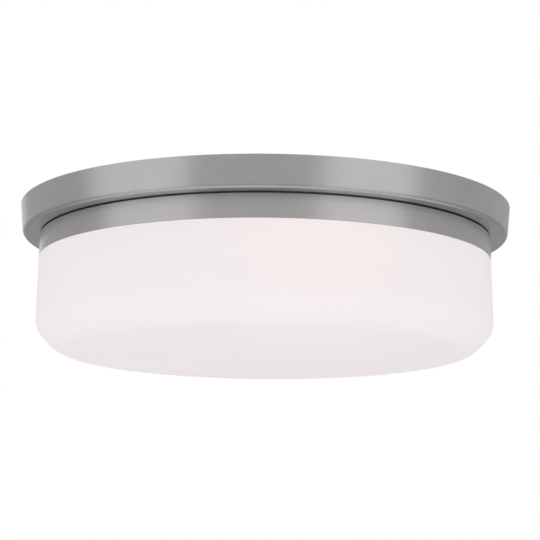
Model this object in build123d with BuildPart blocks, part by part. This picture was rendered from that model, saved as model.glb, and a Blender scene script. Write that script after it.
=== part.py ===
"""Drum flush-mount ceiling light: a nickel pan and ring, a twist-lock opal glass, three lamps.

Millimetres, +Z up. The origin is on the fixture's axis in the ceiling plane, so all of it
hangs at or below Z = 0. The crossbar lies along X.
"""

import os
from math import cos, degrees, hypot, radians, sin, sqrt, tan

from build123d import *

os.makedirs("parts", exist_ok=True)

# Ceiling pan
PAN_DIAMETER = 400.0
PAN_HEIGHT = 22.8
PAN_DRAFT = 5.3
PAN_SHEET = 1.0
PAN_EDGE_RADIUS = 2.6

# Ring that carries the glass
RING_DIAMETER = 368.8
RING_HEIGHT = 20.4
RING_SHEET = 1.0
RING_GAP = 1.2
RING_STEP = 7.0
RING_SEAT = 18.0
RING_SHOULDER_RADIUS = 1.8
RING_RIVETS = 6
RING_RIVET_AZIMUTH = 30.0

# Glass shade
SHADE_DRAFT = 1.2
SHADE_DEPTH = 86.3
SHADE_DOME_RADIUS = 1190.0
SHADE_CORNER_RADIUS = 29.8
SHADE_WALL = 4.0
SHADE_SHOULDER_RADIUS = 1.6
SHADE_SHOULDER_GAP = 0.4
SHADE_RIM_GAP = 0.6

# Twist lock: lugs on the glass neck and clips in the ring
LOCK_COUNT = 3
LOCK_AZIMUTH = 90.0
LUG_LENGTH = 40.0
LUG_HEIGHT = 5.0
LUG_INSET = 2.5
LUG_GAP = 0.3
CLIP_LENGTH = 44.0
CLIP_SHEET = 0.8
CLIP_SHELF = 4.2
CLIP_FLANGE = 6.0
CLIP_STOP_HEIGHT = 4.0
NECK_GAP = 0.6
LUG_SIDE_GAP = 0.6

# Lamps: standard medium screw base and the common pear-shaped bulb
LAMP_AZIMUTHS = (-90.0, 30.0, 150.0)
LAMP_DROP = 42.0
BULB_DIAMETER = 60.0
BULB_LENGTH = 108.0
BULB_WALL = 0.8
BULB_NECK_RADIUS = 13.0
BULB_NECK_LENGTH = 10.0
BASE_DIAMETER = 26.0
BASE_LENGTH = 26.0
BASE_SHEET = 0.4
BASE_HEEL = 5.0
INSULATOR_DEPTH = 4.0
TIP_DIAMETER = 8.4
TIP_HEIGHT = 2.2
TIP_GAP = 0.1

# Lamp sockets
SOCKET_BACK = 28.2
SOCKET_LENGTH = 43.0
SOCKET_FLOOR = 12.0
SOCKET_LIP = 12.0
SOCKET_WALL = 3.4
SOCKET_LIP_STEP = 2.0
SOCKET_EDGE = 1.2
SHELL_SHEET = 0.5
SHELL_LENGTH = 27.0
SHELL_HOLE_RADIUS = 7.5
SHELL_GAP = 0.3
THREAD_GAP = 0.35
CONTACT_HEIGHT = 4.7
CONTACT_WIDTH = 6.0
CONTACT_SHEET = 0.5
CONTACT_REACH = 6.0
CONTACT_GAP = 0.3

# Socket brackets and their fasteners
BRACKET_WIDTH = 32.0
BRACKET_SHEET = 1.2
BRACKET_FOOT = 25.0
BRACKET_FOOT_RADIUS = 4.0
BRACKET_BEND_RADIUS = 0.7
BRACKET_HOLE_RADIUS = 8.0
SOCKET_SCREW_SPREAD = 11.5
SOCKET_SCREW_DIAMETER = 3.0
SOCKET_SCREW_DEPTH = 7.0
SOCKET_SCREW_HEAD_DIAMETER = 6.0
SOCKET_SCREW_HEAD_HEIGHT = 1.8
RIVET_DIAMETER = 3.2
RIVET_HEAD_DIAMETER = 6.0
RIVET_HEAD_HEIGHT = 1.0
RIVET_HEAD_ROUND = 0.6
BRACKET_RIVET_SPREAD = 8.0
BRACKET_RIVET_INSET = 10.0
HOLE_GAP = 0.15

# Crossbar and hanger screws
CROSSBAR_LENGTH = 138.0
CROSSBAR_WIDTH = 20.0
CROSSBAR_SHEET = 1.6
CROSSBAR_OFFSET = 4.5
CROSSBAR_SEAT = 15.2
BOX_SLOT_SPACING = 79.4
BOX_SLOT_LENGTH = 16.0
BOX_SLOT_WIDTH = 5.0
NIPPLE_HOLE_DIAMETER = 10.2
HANGER_INSET = 7.0
HANGER_DIAMETER = 4.2
HANGER_HEAD_DIAMETER = 8.0
HANGER_HEAD_HEIGHT = 2.6
LOCK_NUT_WIDTH = 8.0
LOCK_NUT_HEIGHT = 3.2
CAP_NUT_WIDTH = 9.0
CAP_NUT_HEIGHT = 11.0
CAP_NUT_FLANGE = 13.0
CAP_NUT_WALL = 1.8
CAP_NUT_ROUND = 3.6
KEYHOLE_SLOT = 5.0
KEYHOLE_EYE = 14.0
KEYHOLE_LENGTH = 11.0

# Wiring
LEAD_DIAMETER = 2.2
LEAD_SPREAD = 4.5
LEAD_INSET = 7.0
LEAD_DEPTH = 6.0
LEAD_BENDS = (9.0, 5.0, 10.0, 10.0)
BUSHING_WALL = 2.0
BUSHING_FLANGE = 2.8
BUSHING_LIP = 1.5
SPLICE_CAP_RADIUS = 6.5
SPLICE_CAP_LENGTH = 23.0
SPLICE_CAP_DEPTH = 13.0
SPLICE_CAP_PLACE = 22.0
SPLICE_CAP_TAPER = 1.8
GROUND_PLACE = 20.0
GROUND_SCREW_DIAMETER = 4.0
GROUND_HEAD_DIAMETER = 8.0
GROUND_HEAD_HEIGHT = 2.6
TERMINAL_SHEET = 0.8
TERMINAL_BARREL = 6.0
GROUND_BEND_SHARE = 0.45

# Insulation pad
PAD_RIVET_GAP = 5.0
PAD_HOLE_DIAMETER = 152.0
PAD_THICKNESS = 13.0
PAD_EDGE_RADIUS = 4.0
SEAT_GAP = 0.3

# Levels and radii worked out from the sizes above
FLOOR_Z = -PAN_HEIGHT
FLOOR_TOP_Z = FLOOR_Z + PAN_SHEET
RING_LOW_Z = FLOOR_Z - RING_HEIGHT
SHOULDER_Z = RING_LOW_Z - SHADE_SHOULDER_GAP
RING_TOP_Z = FLOOR_Z - RING_GAP
RIM_Z = RING_TOP_Z - RING_SHEET - SHADE_RIM_GAP
SHADE_LOW_Z = RING_LOW_Z - SHADE_DEPTH
LUG_Z = RIM_Z - LUG_INSET - LUG_HEIGHT
SHELF_Z = LUG_Z - LUG_GAP
LAMP_Z = FLOOR_Z - LAMP_DROP
BAR_END_Z = -CROSSBAR_OFFSET
SHADE_SLOPE = tan(radians(SHADE_DRAFT))


def wall_radius(z):
    """Outer radius of the drafted line that the ring's wall and the glass share."""
    return RING_DIAMETER / 2 + (RING_LOW_Z - z) * SHADE_SLOPE


def ring_bore(z):
    """Inner radius of the ring's drafted wall."""
    return wall_radius(z) - RING_SHEET


RING_BORE_RADIUS = ring_bore(RING_TOP_Z)
CLIP_INNER_RADIUS = RING_BORE_RADIUS - CLIP_SHELF
NECK_RADIUS = CLIP_INNER_RADIUS - NECK_GAP
LUG_RADIUS = RING_BORE_RADIUS - CLIP_SHEET - LUG_SIDE_GAP
STEP_RADIUS = wall_radius(RING_TOP_Z) - RING_STEP
RING_INNER_RADIUS = STEP_RADIUS - RING_SEAT
RIVET_CIRCLE_RADIUS = (STEP_RADIUS + RING_INNER_RADIUS) / 2 - RING_SHEET
PAD_RADIUS = RIVET_CIRCLE_RADIUS - RIVET_HEAD_DIAMETER / 2 - PAD_RIVET_GAP
HANGER_SPACING = CROSSBAR_LENGTH - 2 * HANGER_INSET
BASE_RADIUS = BASE_DIAMETER / 2
SHELL_RADIUS = BASE_RADIUS + THREAD_GAP + SHELL_SHEET
SOCKET_BORE_RADIUS = SHELL_RADIUS + SHELL_GAP
SOCKET_RADIUS = SOCKET_BORE_RADIUS + SOCKET_WALL
BULB_TIP = SOCKET_BACK + SOCKET_FLOOR + CONTACT_HEIGHT + CONTACT_GAP
BRACKET_INNER = SOCKET_BACK - BRACKET_SHEET
BRACKET_RIVET_PLACE = BRACKET_INNER + BRACKET_FOOT - BRACKET_RIVET_INSET
BUSHING_BORE_RADIUS = hypot(LEAD_INSET, LEAD_SPREAD) + LEAD_DIAMETER / 2 + SEAT_GAP
BUSHING_RADIUS = BUSHING_BORE_RADIUS + BUSHING_WALL


def save(piece, name):
    """Label a finished piece and write it."""
    piece.part.label = name
    export_step(piece.part, f"parts/{name}.step")


def round_corners(radius, *points):
    """Round the current sketch's corners nearest to the points."""
    fillet([vertices().sort_by_distance(p)[0] for p in points], radius)


def upright(azimuth, z=0.0):
    """Upright plane through the fixture's axis: local X runs outwards and local Y up."""
    a = radians(azimuth)
    return Plane((0, 0, z), x_dir=(cos(a), sin(a), 0), z_dir=(sin(a), -cos(a), 0))


def lamp_axis(azimuth):
    """Axis of a lamp, pointing outwards."""
    a = radians(azimuth)
    return Axis((0, 0, LAMP_Z), (cos(a), sin(a), 0))


def lamp_point(azimuth, out, side, z=LAMP_Z):
    """Point at a distance out along a lamp's azimuth, and to its left seen from above."""
    a = radians(azimuth)
    return (out * cos(a) - side * sin(a), out * sin(a) + side * cos(a), z)


def lamp_end(azimuth, out):
    """Plane square to a lamp's axis: local X is sideways, local Y up, and it faces outwards."""
    a = radians(azimuth)
    return Plane(lamp_point(azimuth, out, 0), x_dir=(-sin(a), cos(a), 0), z_dir=(cos(a), sin(a), 0))


def lamp_level(azimuth, z):
    """Level plane: local X runs out along a lamp's azimuth."""
    a = radians(azimuth)
    return Plane((0, 0, z), x_dir=(cos(a), sin(a), 0), z_dir=(0, 0, 1))


def make_rivets(name, places, grip):
    """Rivets through the pan's floor and what is fastened under it, with low round heads."""
    with BuildPart() as rivets:
        with BuildSketch(Plane.XY.offset(FLOOR_TOP_Z - grip - RIVET_HEAD_HEIGHT)):
            with Locations(*places):
                Circle(RIVET_HEAD_DIAMETER / 2)
        extrude(amount=RIVET_HEAD_HEIGHT)
        with BuildSketch(Plane.XY.offset(FLOOR_TOP_Z - grip)):
            with Locations(*places):
                Circle(RIVET_DIAMETER / 2)
        extrude(amount=grip)
        with BuildSketch(Plane.XY.offset(FLOOR_TOP_Z)):
            with Locations(*places):
                Circle(RIVET_HEAD_DIAMETER / 2)
        extrude(amount=RIVET_HEAD_HEIGHT)
        ends = faces().filter_by(Axis.Z).group_by(Axis.Z)
        fillet(ends[0].edges() + ends[-1].edges(), min(RIVET_HEAD_ROUND, RIVET_HEAD_HEIGHT - HOLE_GAP))
    save(rivets, name)


ring_rivet_places = [
    lamp_point(RING_RIVET_AZIMUTH + 360 / RING_RIVETS * n, RIVET_CIRCLE_RADIUS, 0)[:2]
    for n in range(RING_RIVETS)
]
rivet_sides = (-BRACKET_RIVET_SPREAD, BRACKET_RIVET_SPREAD)
bracket_rivet_places = [
    lamp_point(azimuth, BRACKET_RIVET_PLACE, side)[:2]
    for azimuth in LAMP_AZIMUTHS
    for side in rivet_sides
]
ground_pan_place = (-GROUND_PLACE, GROUND_PLACE * 2)

# Ceiling pan: a drawn dish whose open side faces the ceiling
pan_radius = PAN_DIAMETER / 2
pan_low_radius = pan_radius - PAN_HEIGHT * tan(radians(PAN_DRAFT))
pan_inner_low_radius = pan_low_radius - PAN_SHEET
with BuildPart() as ceiling_pan:
    with BuildSketch(Plane.XZ):
        with BuildLine():
            Polyline(
                (0, FLOOR_Z),
                (pan_low_radius, FLOOR_Z),
                (pan_radius, 0),
                (pan_radius - PAN_SHEET, 0),
                (pan_inner_low_radius, FLOOR_TOP_Z),
                (0, FLOOR_TOP_Z),
                close=True,
            )
        make_face()
        round_corners(PAN_EDGE_RADIUS, (pan_low_radius, FLOOR_Z))
        round_corners(max(PAN_EDGE_RADIUS - PAN_SHEET, PAN_SHEET / 4), (pan_inner_low_radius, FLOOR_TOP_Z))
    revolve(axis=Axis.Z)
    with BuildSketch(Plane.XY.offset(FLOOR_Z)):
        Circle(BUSHING_RADIUS + HOLE_GAP)
        with Locations(*ring_rivet_places, *bracket_rivet_places):
            Circle(RIVET_DIAMETER / 2 + HOLE_GAP)
        with Locations(ground_pan_place):
            Circle(GROUND_SCREW_DIAMETER / 2 + HOLE_GAP)
        for side in (1, -1):
            with Locations((side * HANGER_SPACING / 2, -side * KEYHOLE_LENGTH / 2)):
                SlotCenterToCenter(KEYHOLE_LENGTH, KEYHOLE_SLOT, rotation=90)
            with Locations((side * HANGER_SPACING / 2, -side * KEYHOLE_LENGTH)):
                Circle(KEYHOLE_EYE / 2)
    extrude(amount=PAN_SHEET, mode=Mode.SUBTRACT)
save(ceiling_pan, "ceiling_pan")

# Ring: a stepped flange seats on the pan and leaves the shadow gap outside the step
with BuildPart() as glass_ring:
    with BuildSketch(Plane.XZ):
        ring_top = (wall_radius(RING_TOP_Z), RING_TOP_Z)
        ring_inner_top = (ring_bore(RING_TOP_Z - RING_SHEET), RING_TOP_Z - RING_SHEET)
        with BuildLine():
            Polyline(
                (RING_INNER_RADIUS, FLOOR_Z),
                (STEP_RADIUS, FLOOR_Z),
                (STEP_RADIUS, RING_TOP_Z),
                ring_top,
                (wall_radius(RING_LOW_Z), RING_LOW_Z),
                (ring_bore(RING_LOW_Z), RING_LOW_Z),
                ring_inner_top,
                (STEP_RADIUS - RING_SHEET, RING_TOP_Z - RING_SHEET),
                (STEP_RADIUS - RING_SHEET, FLOOR_Z - RING_SHEET),
                (RING_INNER_RADIUS, FLOOR_Z - RING_SHEET),
                close=True,
            )
        make_face()
        round_corners(RING_SHOULDER_RADIUS, ring_top)
        round_corners(max(RING_SHOULDER_RADIUS - RING_SHEET, RING_SHEET / 4), ring_inner_top)
    revolve(axis=Axis.Z)
    with BuildSketch(Plane.XY.offset(FLOOR_Z)):
        with Locations(*ring_rivet_places):
            Circle(RIVET_DIAMETER / 2 + HOLE_GAP)
    extrude(amount=-RING_SHEET, mode=Mode.SUBTRACT)
save(glass_ring, "glass_ring")
make_rivets("ring_rivets", ring_rivet_places, PAN_SHEET + RING_SHEET)

# Twist lock: each clip has a flange welded to the ring, a shelf under the lug and an end stop
lug_arc = degrees(LUG_LENGTH / LUG_RADIUS)
clip_arc = degrees(CLIP_LENGTH / LUG_RADIUS)
stop_arc = degrees(CLIP_SHEET / LUG_RADIUS)
stop_start = lug_arc / 2 + degrees(LUG_GAP / LUG_RADIUS)
lock_azimuths = [LOCK_AZIMUTH + 360 / LOCK_COUNT * n for n in range(LOCK_COUNT)]
flange_top_z = SHELF_Z + CLIP_FLANGE
shelf_low_z = SHELF_Z - CLIP_SHEET
with BuildPart() as lock_clips:
    for azimuth in lock_azimuths:
        with BuildSketch(upright(azimuth + stop_start + stop_arc - clip_arc)):
            with BuildLine():
                Polyline(
                    (CLIP_INNER_RADIUS, shelf_low_z),
                    (ring_bore(shelf_low_z), shelf_low_z),
                    (ring_bore(flange_top_z), flange_top_z),
                    (ring_bore(flange_top_z) - CLIP_SHEET, flange_top_z),
                    (ring_bore(SHELF_Z) - CLIP_SHEET, SHELF_Z),
                    (CLIP_INNER_RADIUS, SHELF_Z),
                    close=True,
                )
            make_face()
        revolve(axis=Axis.Z, revolution_arc=clip_arc)
        with BuildSketch(upright(azimuth + stop_start)):
            with BuildLine():
                Polyline(
                    (CLIP_INNER_RADIUS, SHELF_Z),
                    (ring_bore(SHELF_Z) - CLIP_SHEET, SHELF_Z),
                    (ring_bore(SHELF_Z + CLIP_STOP_HEIGHT) - CLIP_SHEET, SHELF_Z + CLIP_STOP_HEIGHT),
                    (CLIP_INNER_RADIUS, SHELF_Z + CLIP_STOP_HEIGHT),
                    close=True,
                )
            make_face()
        revolve(axis=Axis.Z, revolution_arc=stop_arc)
save(lock_clips, "lock_clips")


def shade_corner(inset):
    """Where the drafted wall would meet the domed bottom, inset from the outer surface."""
    centre_z = SHADE_LOW_Z + SHADE_DOME_RADIUS
    start = RING_DIAMETER / 2 - inset * hypot(1, SHADE_SLOPE) + (RING_LOW_Z - centre_z) * SHADE_SLOPE
    dome = SHADE_DOME_RADIUS - inset
    square = 1 + SHADE_SLOPE**2
    depth = (sqrt(square * dome**2 - start**2) - start * SHADE_SLOPE) / square
    return (start + SHADE_SLOPE * depth, centre_z - depth)


def dome_point(radius, inset):
    """Point of the domed bottom at a distance from the axis, inset from the outer surface."""
    dome = SHADE_DOME_RADIUS - inset
    return (radius, SHADE_LOW_Z + SHADE_DOME_RADIUS - sqrt(dome**2 - radius**2))


# Glass shade: neck with lugs, shoulder under the ring, drafted wall, domed bottom
with BuildPart() as glass_shade:
    for inset in (0.0, SHADE_WALL):
        shoulder_z = SHOULDER_Z - inset
        neck_radius = NECK_RADIUS - inset
        neck_foot = (neck_radius, shoulder_z)
        shoulder = (wall_radius(shoulder_z) - inset, shoulder_z)
        corner = shade_corner(inset)
        with BuildSketch(Plane.XZ):
            with BuildLine():
                Polyline((0, RIM_Z), (neck_radius, RIM_Z), neck_foot, shoulder, corner)
                ThreePointArc(corner, dome_point(corner[0] / 2, inset), dome_point(0, inset))
                Line(dome_point(0, inset), (0, RIM_Z))
            make_face()
            round_corners(SHADE_SHOULDER_RADIUS, neck_foot, shoulder)
            round_corners(max(SHADE_CORNER_RADIUS - inset, SHADE_WALL / 4), corner)
        revolve(axis=Axis.Z, mode=Mode.SUBTRACT if inset else Mode.ADD)
    for azimuth in lock_azimuths:
        with BuildSketch(upright(azimuth - lug_arc / 2)):
            with BuildLine():
                Polyline(
                    (NECK_RADIUS - SHADE_WALL / 2, LUG_Z),
                    (LUG_RADIUS, LUG_Z),
                    (LUG_RADIUS, LUG_Z + LUG_HEIGHT),
                    (NECK_RADIUS - SHADE_WALL / 2, LUG_Z + LUG_HEIGHT),
                    close=True,
                )
            make_face()
        revolve(axis=Axis.Z, revolution_arc=lug_arc)
save(glass_shade, "glass_shade")

# Crossbar: a strap with offset ends, so that the hanger screws' heads stay below the ceiling
bar_end = CROSSBAR_LENGTH / 2
bar_joggle = bar_end - CROSSBAR_SEAT
bar_flat = bar_joggle - CROSSBAR_OFFSET
with BuildPart() as crossbar:
    with BuildSketch(Plane.XZ):
        with BuildLine():
            Polyline(
                (-bar_end, BAR_END_Z),
                (-bar_joggle, BAR_END_Z),
                (-bar_flat, 0),
                (bar_flat, 0),
                (bar_joggle, BAR_END_Z),
                (bar_end, BAR_END_Z),
                (bar_end, BAR_END_Z - CROSSBAR_SHEET),
                (bar_joggle - CROSSBAR_SHEET / 2, BAR_END_Z - CROSSBAR_SHEET),
                (bar_flat - CROSSBAR_SHEET / 2, -CROSSBAR_SHEET),
                (-bar_flat + CROSSBAR_SHEET / 2, -CROSSBAR_SHEET),
                (-bar_joggle + CROSSBAR_SHEET / 2, BAR_END_Z - CROSSBAR_SHEET),
                (-bar_end, BAR_END_Z - CROSSBAR_SHEET),
                close=True,
            )
        make_face()
    extrude(amount=CROSSBAR_WIDTH / 2, both=True)
    corner_edges = edges().filter_by(Axis.Z).group_by(Axis.X)
    fillet(corner_edges[0] + corner_edges[-1], CROSSBAR_WIDTH / 4)
    with BuildSketch(Plane.XY):
        Circle(NIPPLE_HOLE_DIAMETER / 2)
        with Locations((-BOX_SLOT_SPACING / 2, 0), (BOX_SLOT_SPACING / 2, 0)):
            SlotOverall(BOX_SLOT_LENGTH, BOX_SLOT_WIDTH)
        with Locations((-HANGER_SPACING / 2, 0), (HANGER_SPACING / 2, 0)):
            Circle(HANGER_DIAMETER / 2 + HOLE_GAP)
        with Locations((-GROUND_PLACE, 0)):
            Circle(GROUND_SCREW_DIAMETER / 2 + HOLE_GAP)
    extrude(amount=-(CROSSBAR_OFFSET + CROSSBAR_SHEET), mode=Mode.SUBTRACT)
save(crossbar, "crossbar")

# Hanger screws hang from the crossbar and pass through the pan's keyholes
hanger_places = [(-HANGER_SPACING / 2, 0), (HANGER_SPACING / 2, 0)]
hanger_low_z = FLOOR_Z - CAP_NUT_HEIGHT + CAP_NUT_WALL + HOLE_GAP
lock_nut_z = BAR_END_Z - CROSSBAR_SHEET
with BuildPart() as hanger_screws:
    with BuildSketch(Plane.XY.offset(BAR_END_Z)):
        with Locations(*hanger_places):
            Circle(HANGER_HEAD_DIAMETER / 2)
    extrude(amount=HANGER_HEAD_HEIGHT)
    fillet(faces().sort_by(Axis.Z)[-2:].edges(), HANGER_HEAD_HEIGHT / 3)
    with BuildSketch(Plane.XY.offset(BAR_END_Z)):
        with Locations(*hanger_places):
            Circle(HANGER_DIAMETER / 2)
    extrude(amount=hanger_low_z - BAR_END_Z)
save(hanger_screws, "hanger_screws")

with BuildPart() as hanger_lock_nuts:
    with BuildSketch(Plane.XY.offset(lock_nut_z)):
        with Locations(*hanger_places):
            RegularPolygon(LOCK_NUT_WIDTH / 2, 6, major_radius=False)
            Circle(HANGER_DIAMETER / 2 + HOLE_GAP, mode=Mode.SUBTRACT)
    extrude(amount=-LOCK_NUT_HEIGHT)
save(hanger_lock_nuts, "hanger_lock_nuts")

with BuildPart() as hanger_cap_nuts:
    with BuildSketch(Plane.XY.offset(FLOOR_Z)):
        with Locations(*hanger_places):
            Circle(CAP_NUT_FLANGE / 2)
    extrude(amount=-CAP_NUT_WALL)
    with BuildSketch(Plane.XY.offset(FLOOR_Z - CAP_NUT_WALL)):
        with Locations(*hanger_places):
            RegularPolygon(CAP_NUT_WIDTH / 2, 6, major_radius=False)
    extrude(amount=-(CAP_NUT_HEIGHT / 2 - CAP_NUT_WALL))
    with BuildSketch(Plane.XY.offset(FLOOR_Z - CAP_NUT_HEIGHT / 2)):
        with Locations(*hanger_places):
            Circle(CAP_NUT_WIDTH / 2)
    extrude(amount=-CAP_NUT_HEIGHT / 2)
    cap_ends = faces().filter_by(Axis.Z).group_by(Axis.Z)[0]
    fillet(cap_ends.edges(), min(CAP_NUT_ROUND, CAP_NUT_WIDTH / 2 - HOLE_GAP))
    with BuildSketch(Plane.XY.offset(FLOOR_Z)):
        with Locations(*hanger_places):
            Circle(HANGER_DIAMETER / 2 + HOLE_GAP)
    extrude(amount=-(CAP_NUT_HEIGHT - CAP_NUT_WALL), mode=Mode.SUBTRACT)
save(hanger_cap_nuts, "hanger_cap_nuts")

# Insulation pad: a ring of glass fibre that lies on the pan's floor
with BuildPart() as insulation_pad:
    with BuildSketch(Plane.XY.offset(FLOOR_TOP_Z + SEAT_GAP)):
        Circle(PAD_RADIUS)
        Circle(PAD_HOLE_DIAMETER / 2, mode=Mode.SUBTRACT)
    extrude(amount=PAD_THICKNESS)
    fillet(faces().sort_by(Axis.Z)[-1].edges(), min(PAD_EDGE_RADIUS, PAD_THICKNESS / 2))
save(insulation_pad, "insulation_pad")

# Sockets and bulbs, one set for each lamp
make_rivets("bracket_rivets", bracket_rivet_places, PAN_SHEET + BRACKET_SHEET)
screw_sides = (-SOCKET_SCREW_SPREAD, SOCKET_SCREW_SPREAD)
lead_sides = (-LEAD_SPREAD, LEAD_SPREAD)


def make_bracket(azimuth, name):
    """Bent strap: a foot riveted under the pan and a round-ended leg that holds the socket's back."""
    axis = lamp_axis(azimuth)
    bend = (BRACKET_INNER, LAMP_DROP)
    inner_bend = (SOCKET_BACK, LAMP_DROP - BRACKET_SHEET)
    foot_end = BRACKET_INNER + BRACKET_FOOT
    with BuildPart() as bracket:
        with BuildSketch(upright(azimuth, LAMP_Z)):
            with BuildLine():
                Polyline(
                    bend,
                    (foot_end, LAMP_DROP),
                    (foot_end, LAMP_DROP - BRACKET_SHEET),
                    inner_bend,
                    (SOCKET_BACK, -BRACKET_WIDTH / 2),
                    (BRACKET_INNER, -BRACKET_WIDTH / 2),
                    close=True,
                )
            make_face()
            round_corners(BRACKET_BEND_RADIUS + BRACKET_SHEET, bend)
            round_corners(BRACKET_BEND_RADIUS, inner_bend)
        extrude(amount=BRACKET_WIDTH / 2, both=True)
        fillet(edges().filter_by(axis).group_by(Axis.Z)[0], BRACKET_WIDTH / 2 - HOLE_GAP)
        fillet(edges().filter_by(Axis.Z).sort_by(axis)[-2:], BRACKET_FOOT_RADIUS)
        with BuildSketch(lamp_end(azimuth, BRACKET_INNER)):
            Circle(BRACKET_HOLE_RADIUS)
            with Locations(*[(side, 0) for side in screw_sides]):
                Circle(SOCKET_SCREW_DIAMETER / 2 + HOLE_GAP)
        extrude(amount=BRACKET_SHEET, mode=Mode.SUBTRACT)
        with BuildSketch(lamp_level(azimuth, FLOOR_Z)):
            with Locations(*[(BRACKET_RIVET_PLACE, side) for side in rivet_sides]):
                Circle(RIVET_DIAMETER / 2 + HOLE_GAP)
        extrude(amount=-BRACKET_SHEET, mode=Mode.SUBTRACT)
    save(bracket, name)


def make_socket_body(azimuth, name):
    """Porcelain cup with a thicker lip, holes for its screws and a hole for each lead."""
    mouth = SOCKET_BACK + SOCKET_LENGTH
    floor = SOCKET_BACK + SOCKET_FLOOR
    lip_radius = SOCKET_RADIUS + SOCKET_LIP_STEP
    with BuildPart() as body:
        with BuildSketch(upright(azimuth, LAMP_Z)):
            with BuildLine():
                Polyline(
                    (SOCKET_BACK, 0),
                    (SOCKET_BACK, SOCKET_RADIUS),
                    (mouth - SOCKET_LIP - SOCKET_LIP_STEP, SOCKET_RADIUS),
                    (mouth - SOCKET_LIP, lip_radius),
                    (mouth, lip_radius),
                    (mouth, SOCKET_BORE_RADIUS),
                    (floor, SOCKET_BORE_RADIUS),
                    (floor, 0),
                    close=True,
                )
            make_face()
            lip_corners = ((mouth, lip_radius), (mouth, SOCKET_BORE_RADIUS))
            round_corners(SOCKET_EDGE, (SOCKET_BACK, SOCKET_RADIUS), *lip_corners)
        revolve(axis=lamp_axis(azimuth))
        with BuildSketch(lamp_end(azimuth, SOCKET_BACK)):
            with Locations(*[(side, 0) for side in screw_sides]):
                Circle(SOCKET_SCREW_DIAMETER / 2 + HOLE_GAP)
        extrude(amount=SOCKET_SCREW_DEPTH, mode=Mode.SUBTRACT)
        with BuildSketch(lamp_end(azimuth, SOCKET_BACK)):
            with Locations(*[(side, 0) for side in lead_sides]):
                Circle(LEAD_DIAMETER / 2 + HOLE_GAP)
        extrude(amount=LEAD_DEPTH + HOLE_GAP, mode=Mode.SUBTRACT)
    save(body, name)


def make_socket_shell(azimuth, name):
    """Brass screw shell, open at the mouth, with a flange on the socket's floor."""
    floor = SOCKET_BACK + SOCKET_FLOOR
    end = floor + SHELL_LENGTH
    with BuildPart() as shell:
        with BuildSketch(upright(azimuth, LAMP_Z)):
            with BuildLine():
                Polyline(
                    (floor, SHELL_HOLE_RADIUS),
                    (floor, SHELL_RADIUS),
                    (end, SHELL_RADIUS),
                    (end, SHELL_RADIUS - SHELL_SHEET),
                    (floor + SHELL_SHEET, SHELL_RADIUS - SHELL_SHEET),
                    (floor + SHELL_SHEET, SHELL_HOLE_RADIUS),
                    close=True,
                )
            make_face()
        revolve(axis=lamp_axis(azimuth))
    save(shell, name)


def make_contact(azimuth, name):
    """Brass leaf that springs up from the socket's floor to the bulb's tip."""
    foot = SOCKET_BACK + SOCKET_FLOOR
    top = foot + CONTACT_HEIGHT
    with BuildPart() as contact:
        with BuildSketch(lamp_level(azimuth, LAMP_Z)):
            with BuildLine():
                Polyline(
                    (foot + CONTACT_SHEET, -CONTACT_REACH),
                    (foot + CONTACT_SHEET, -CONTACT_REACH / 2),
                    (top, -CONTACT_REACH / 4),
                    (top, CONTACT_REACH / 2),
                    (top - CONTACT_HEIGHT / 2, CONTACT_REACH),
                    (top - CONTACT_HEIGHT / 2 - CONTACT_SHEET, CONTACT_REACH - CONTACT_SHEET / 2),
                    (top - CONTACT_SHEET, CONTACT_REACH / 2 - CONTACT_SHEET / 2),
                    (top - CONTACT_SHEET, -CONTACT_REACH / 4 + CONTACT_SHEET),
                    (foot, -CONTACT_REACH / 2 + CONTACT_SHEET),
                    (foot, -CONTACT_REACH),
                    close=True,
                )
            make_face()
        extrude(amount=CONTACT_WIDTH / 2, both=True)
    save(contact, name)


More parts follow.
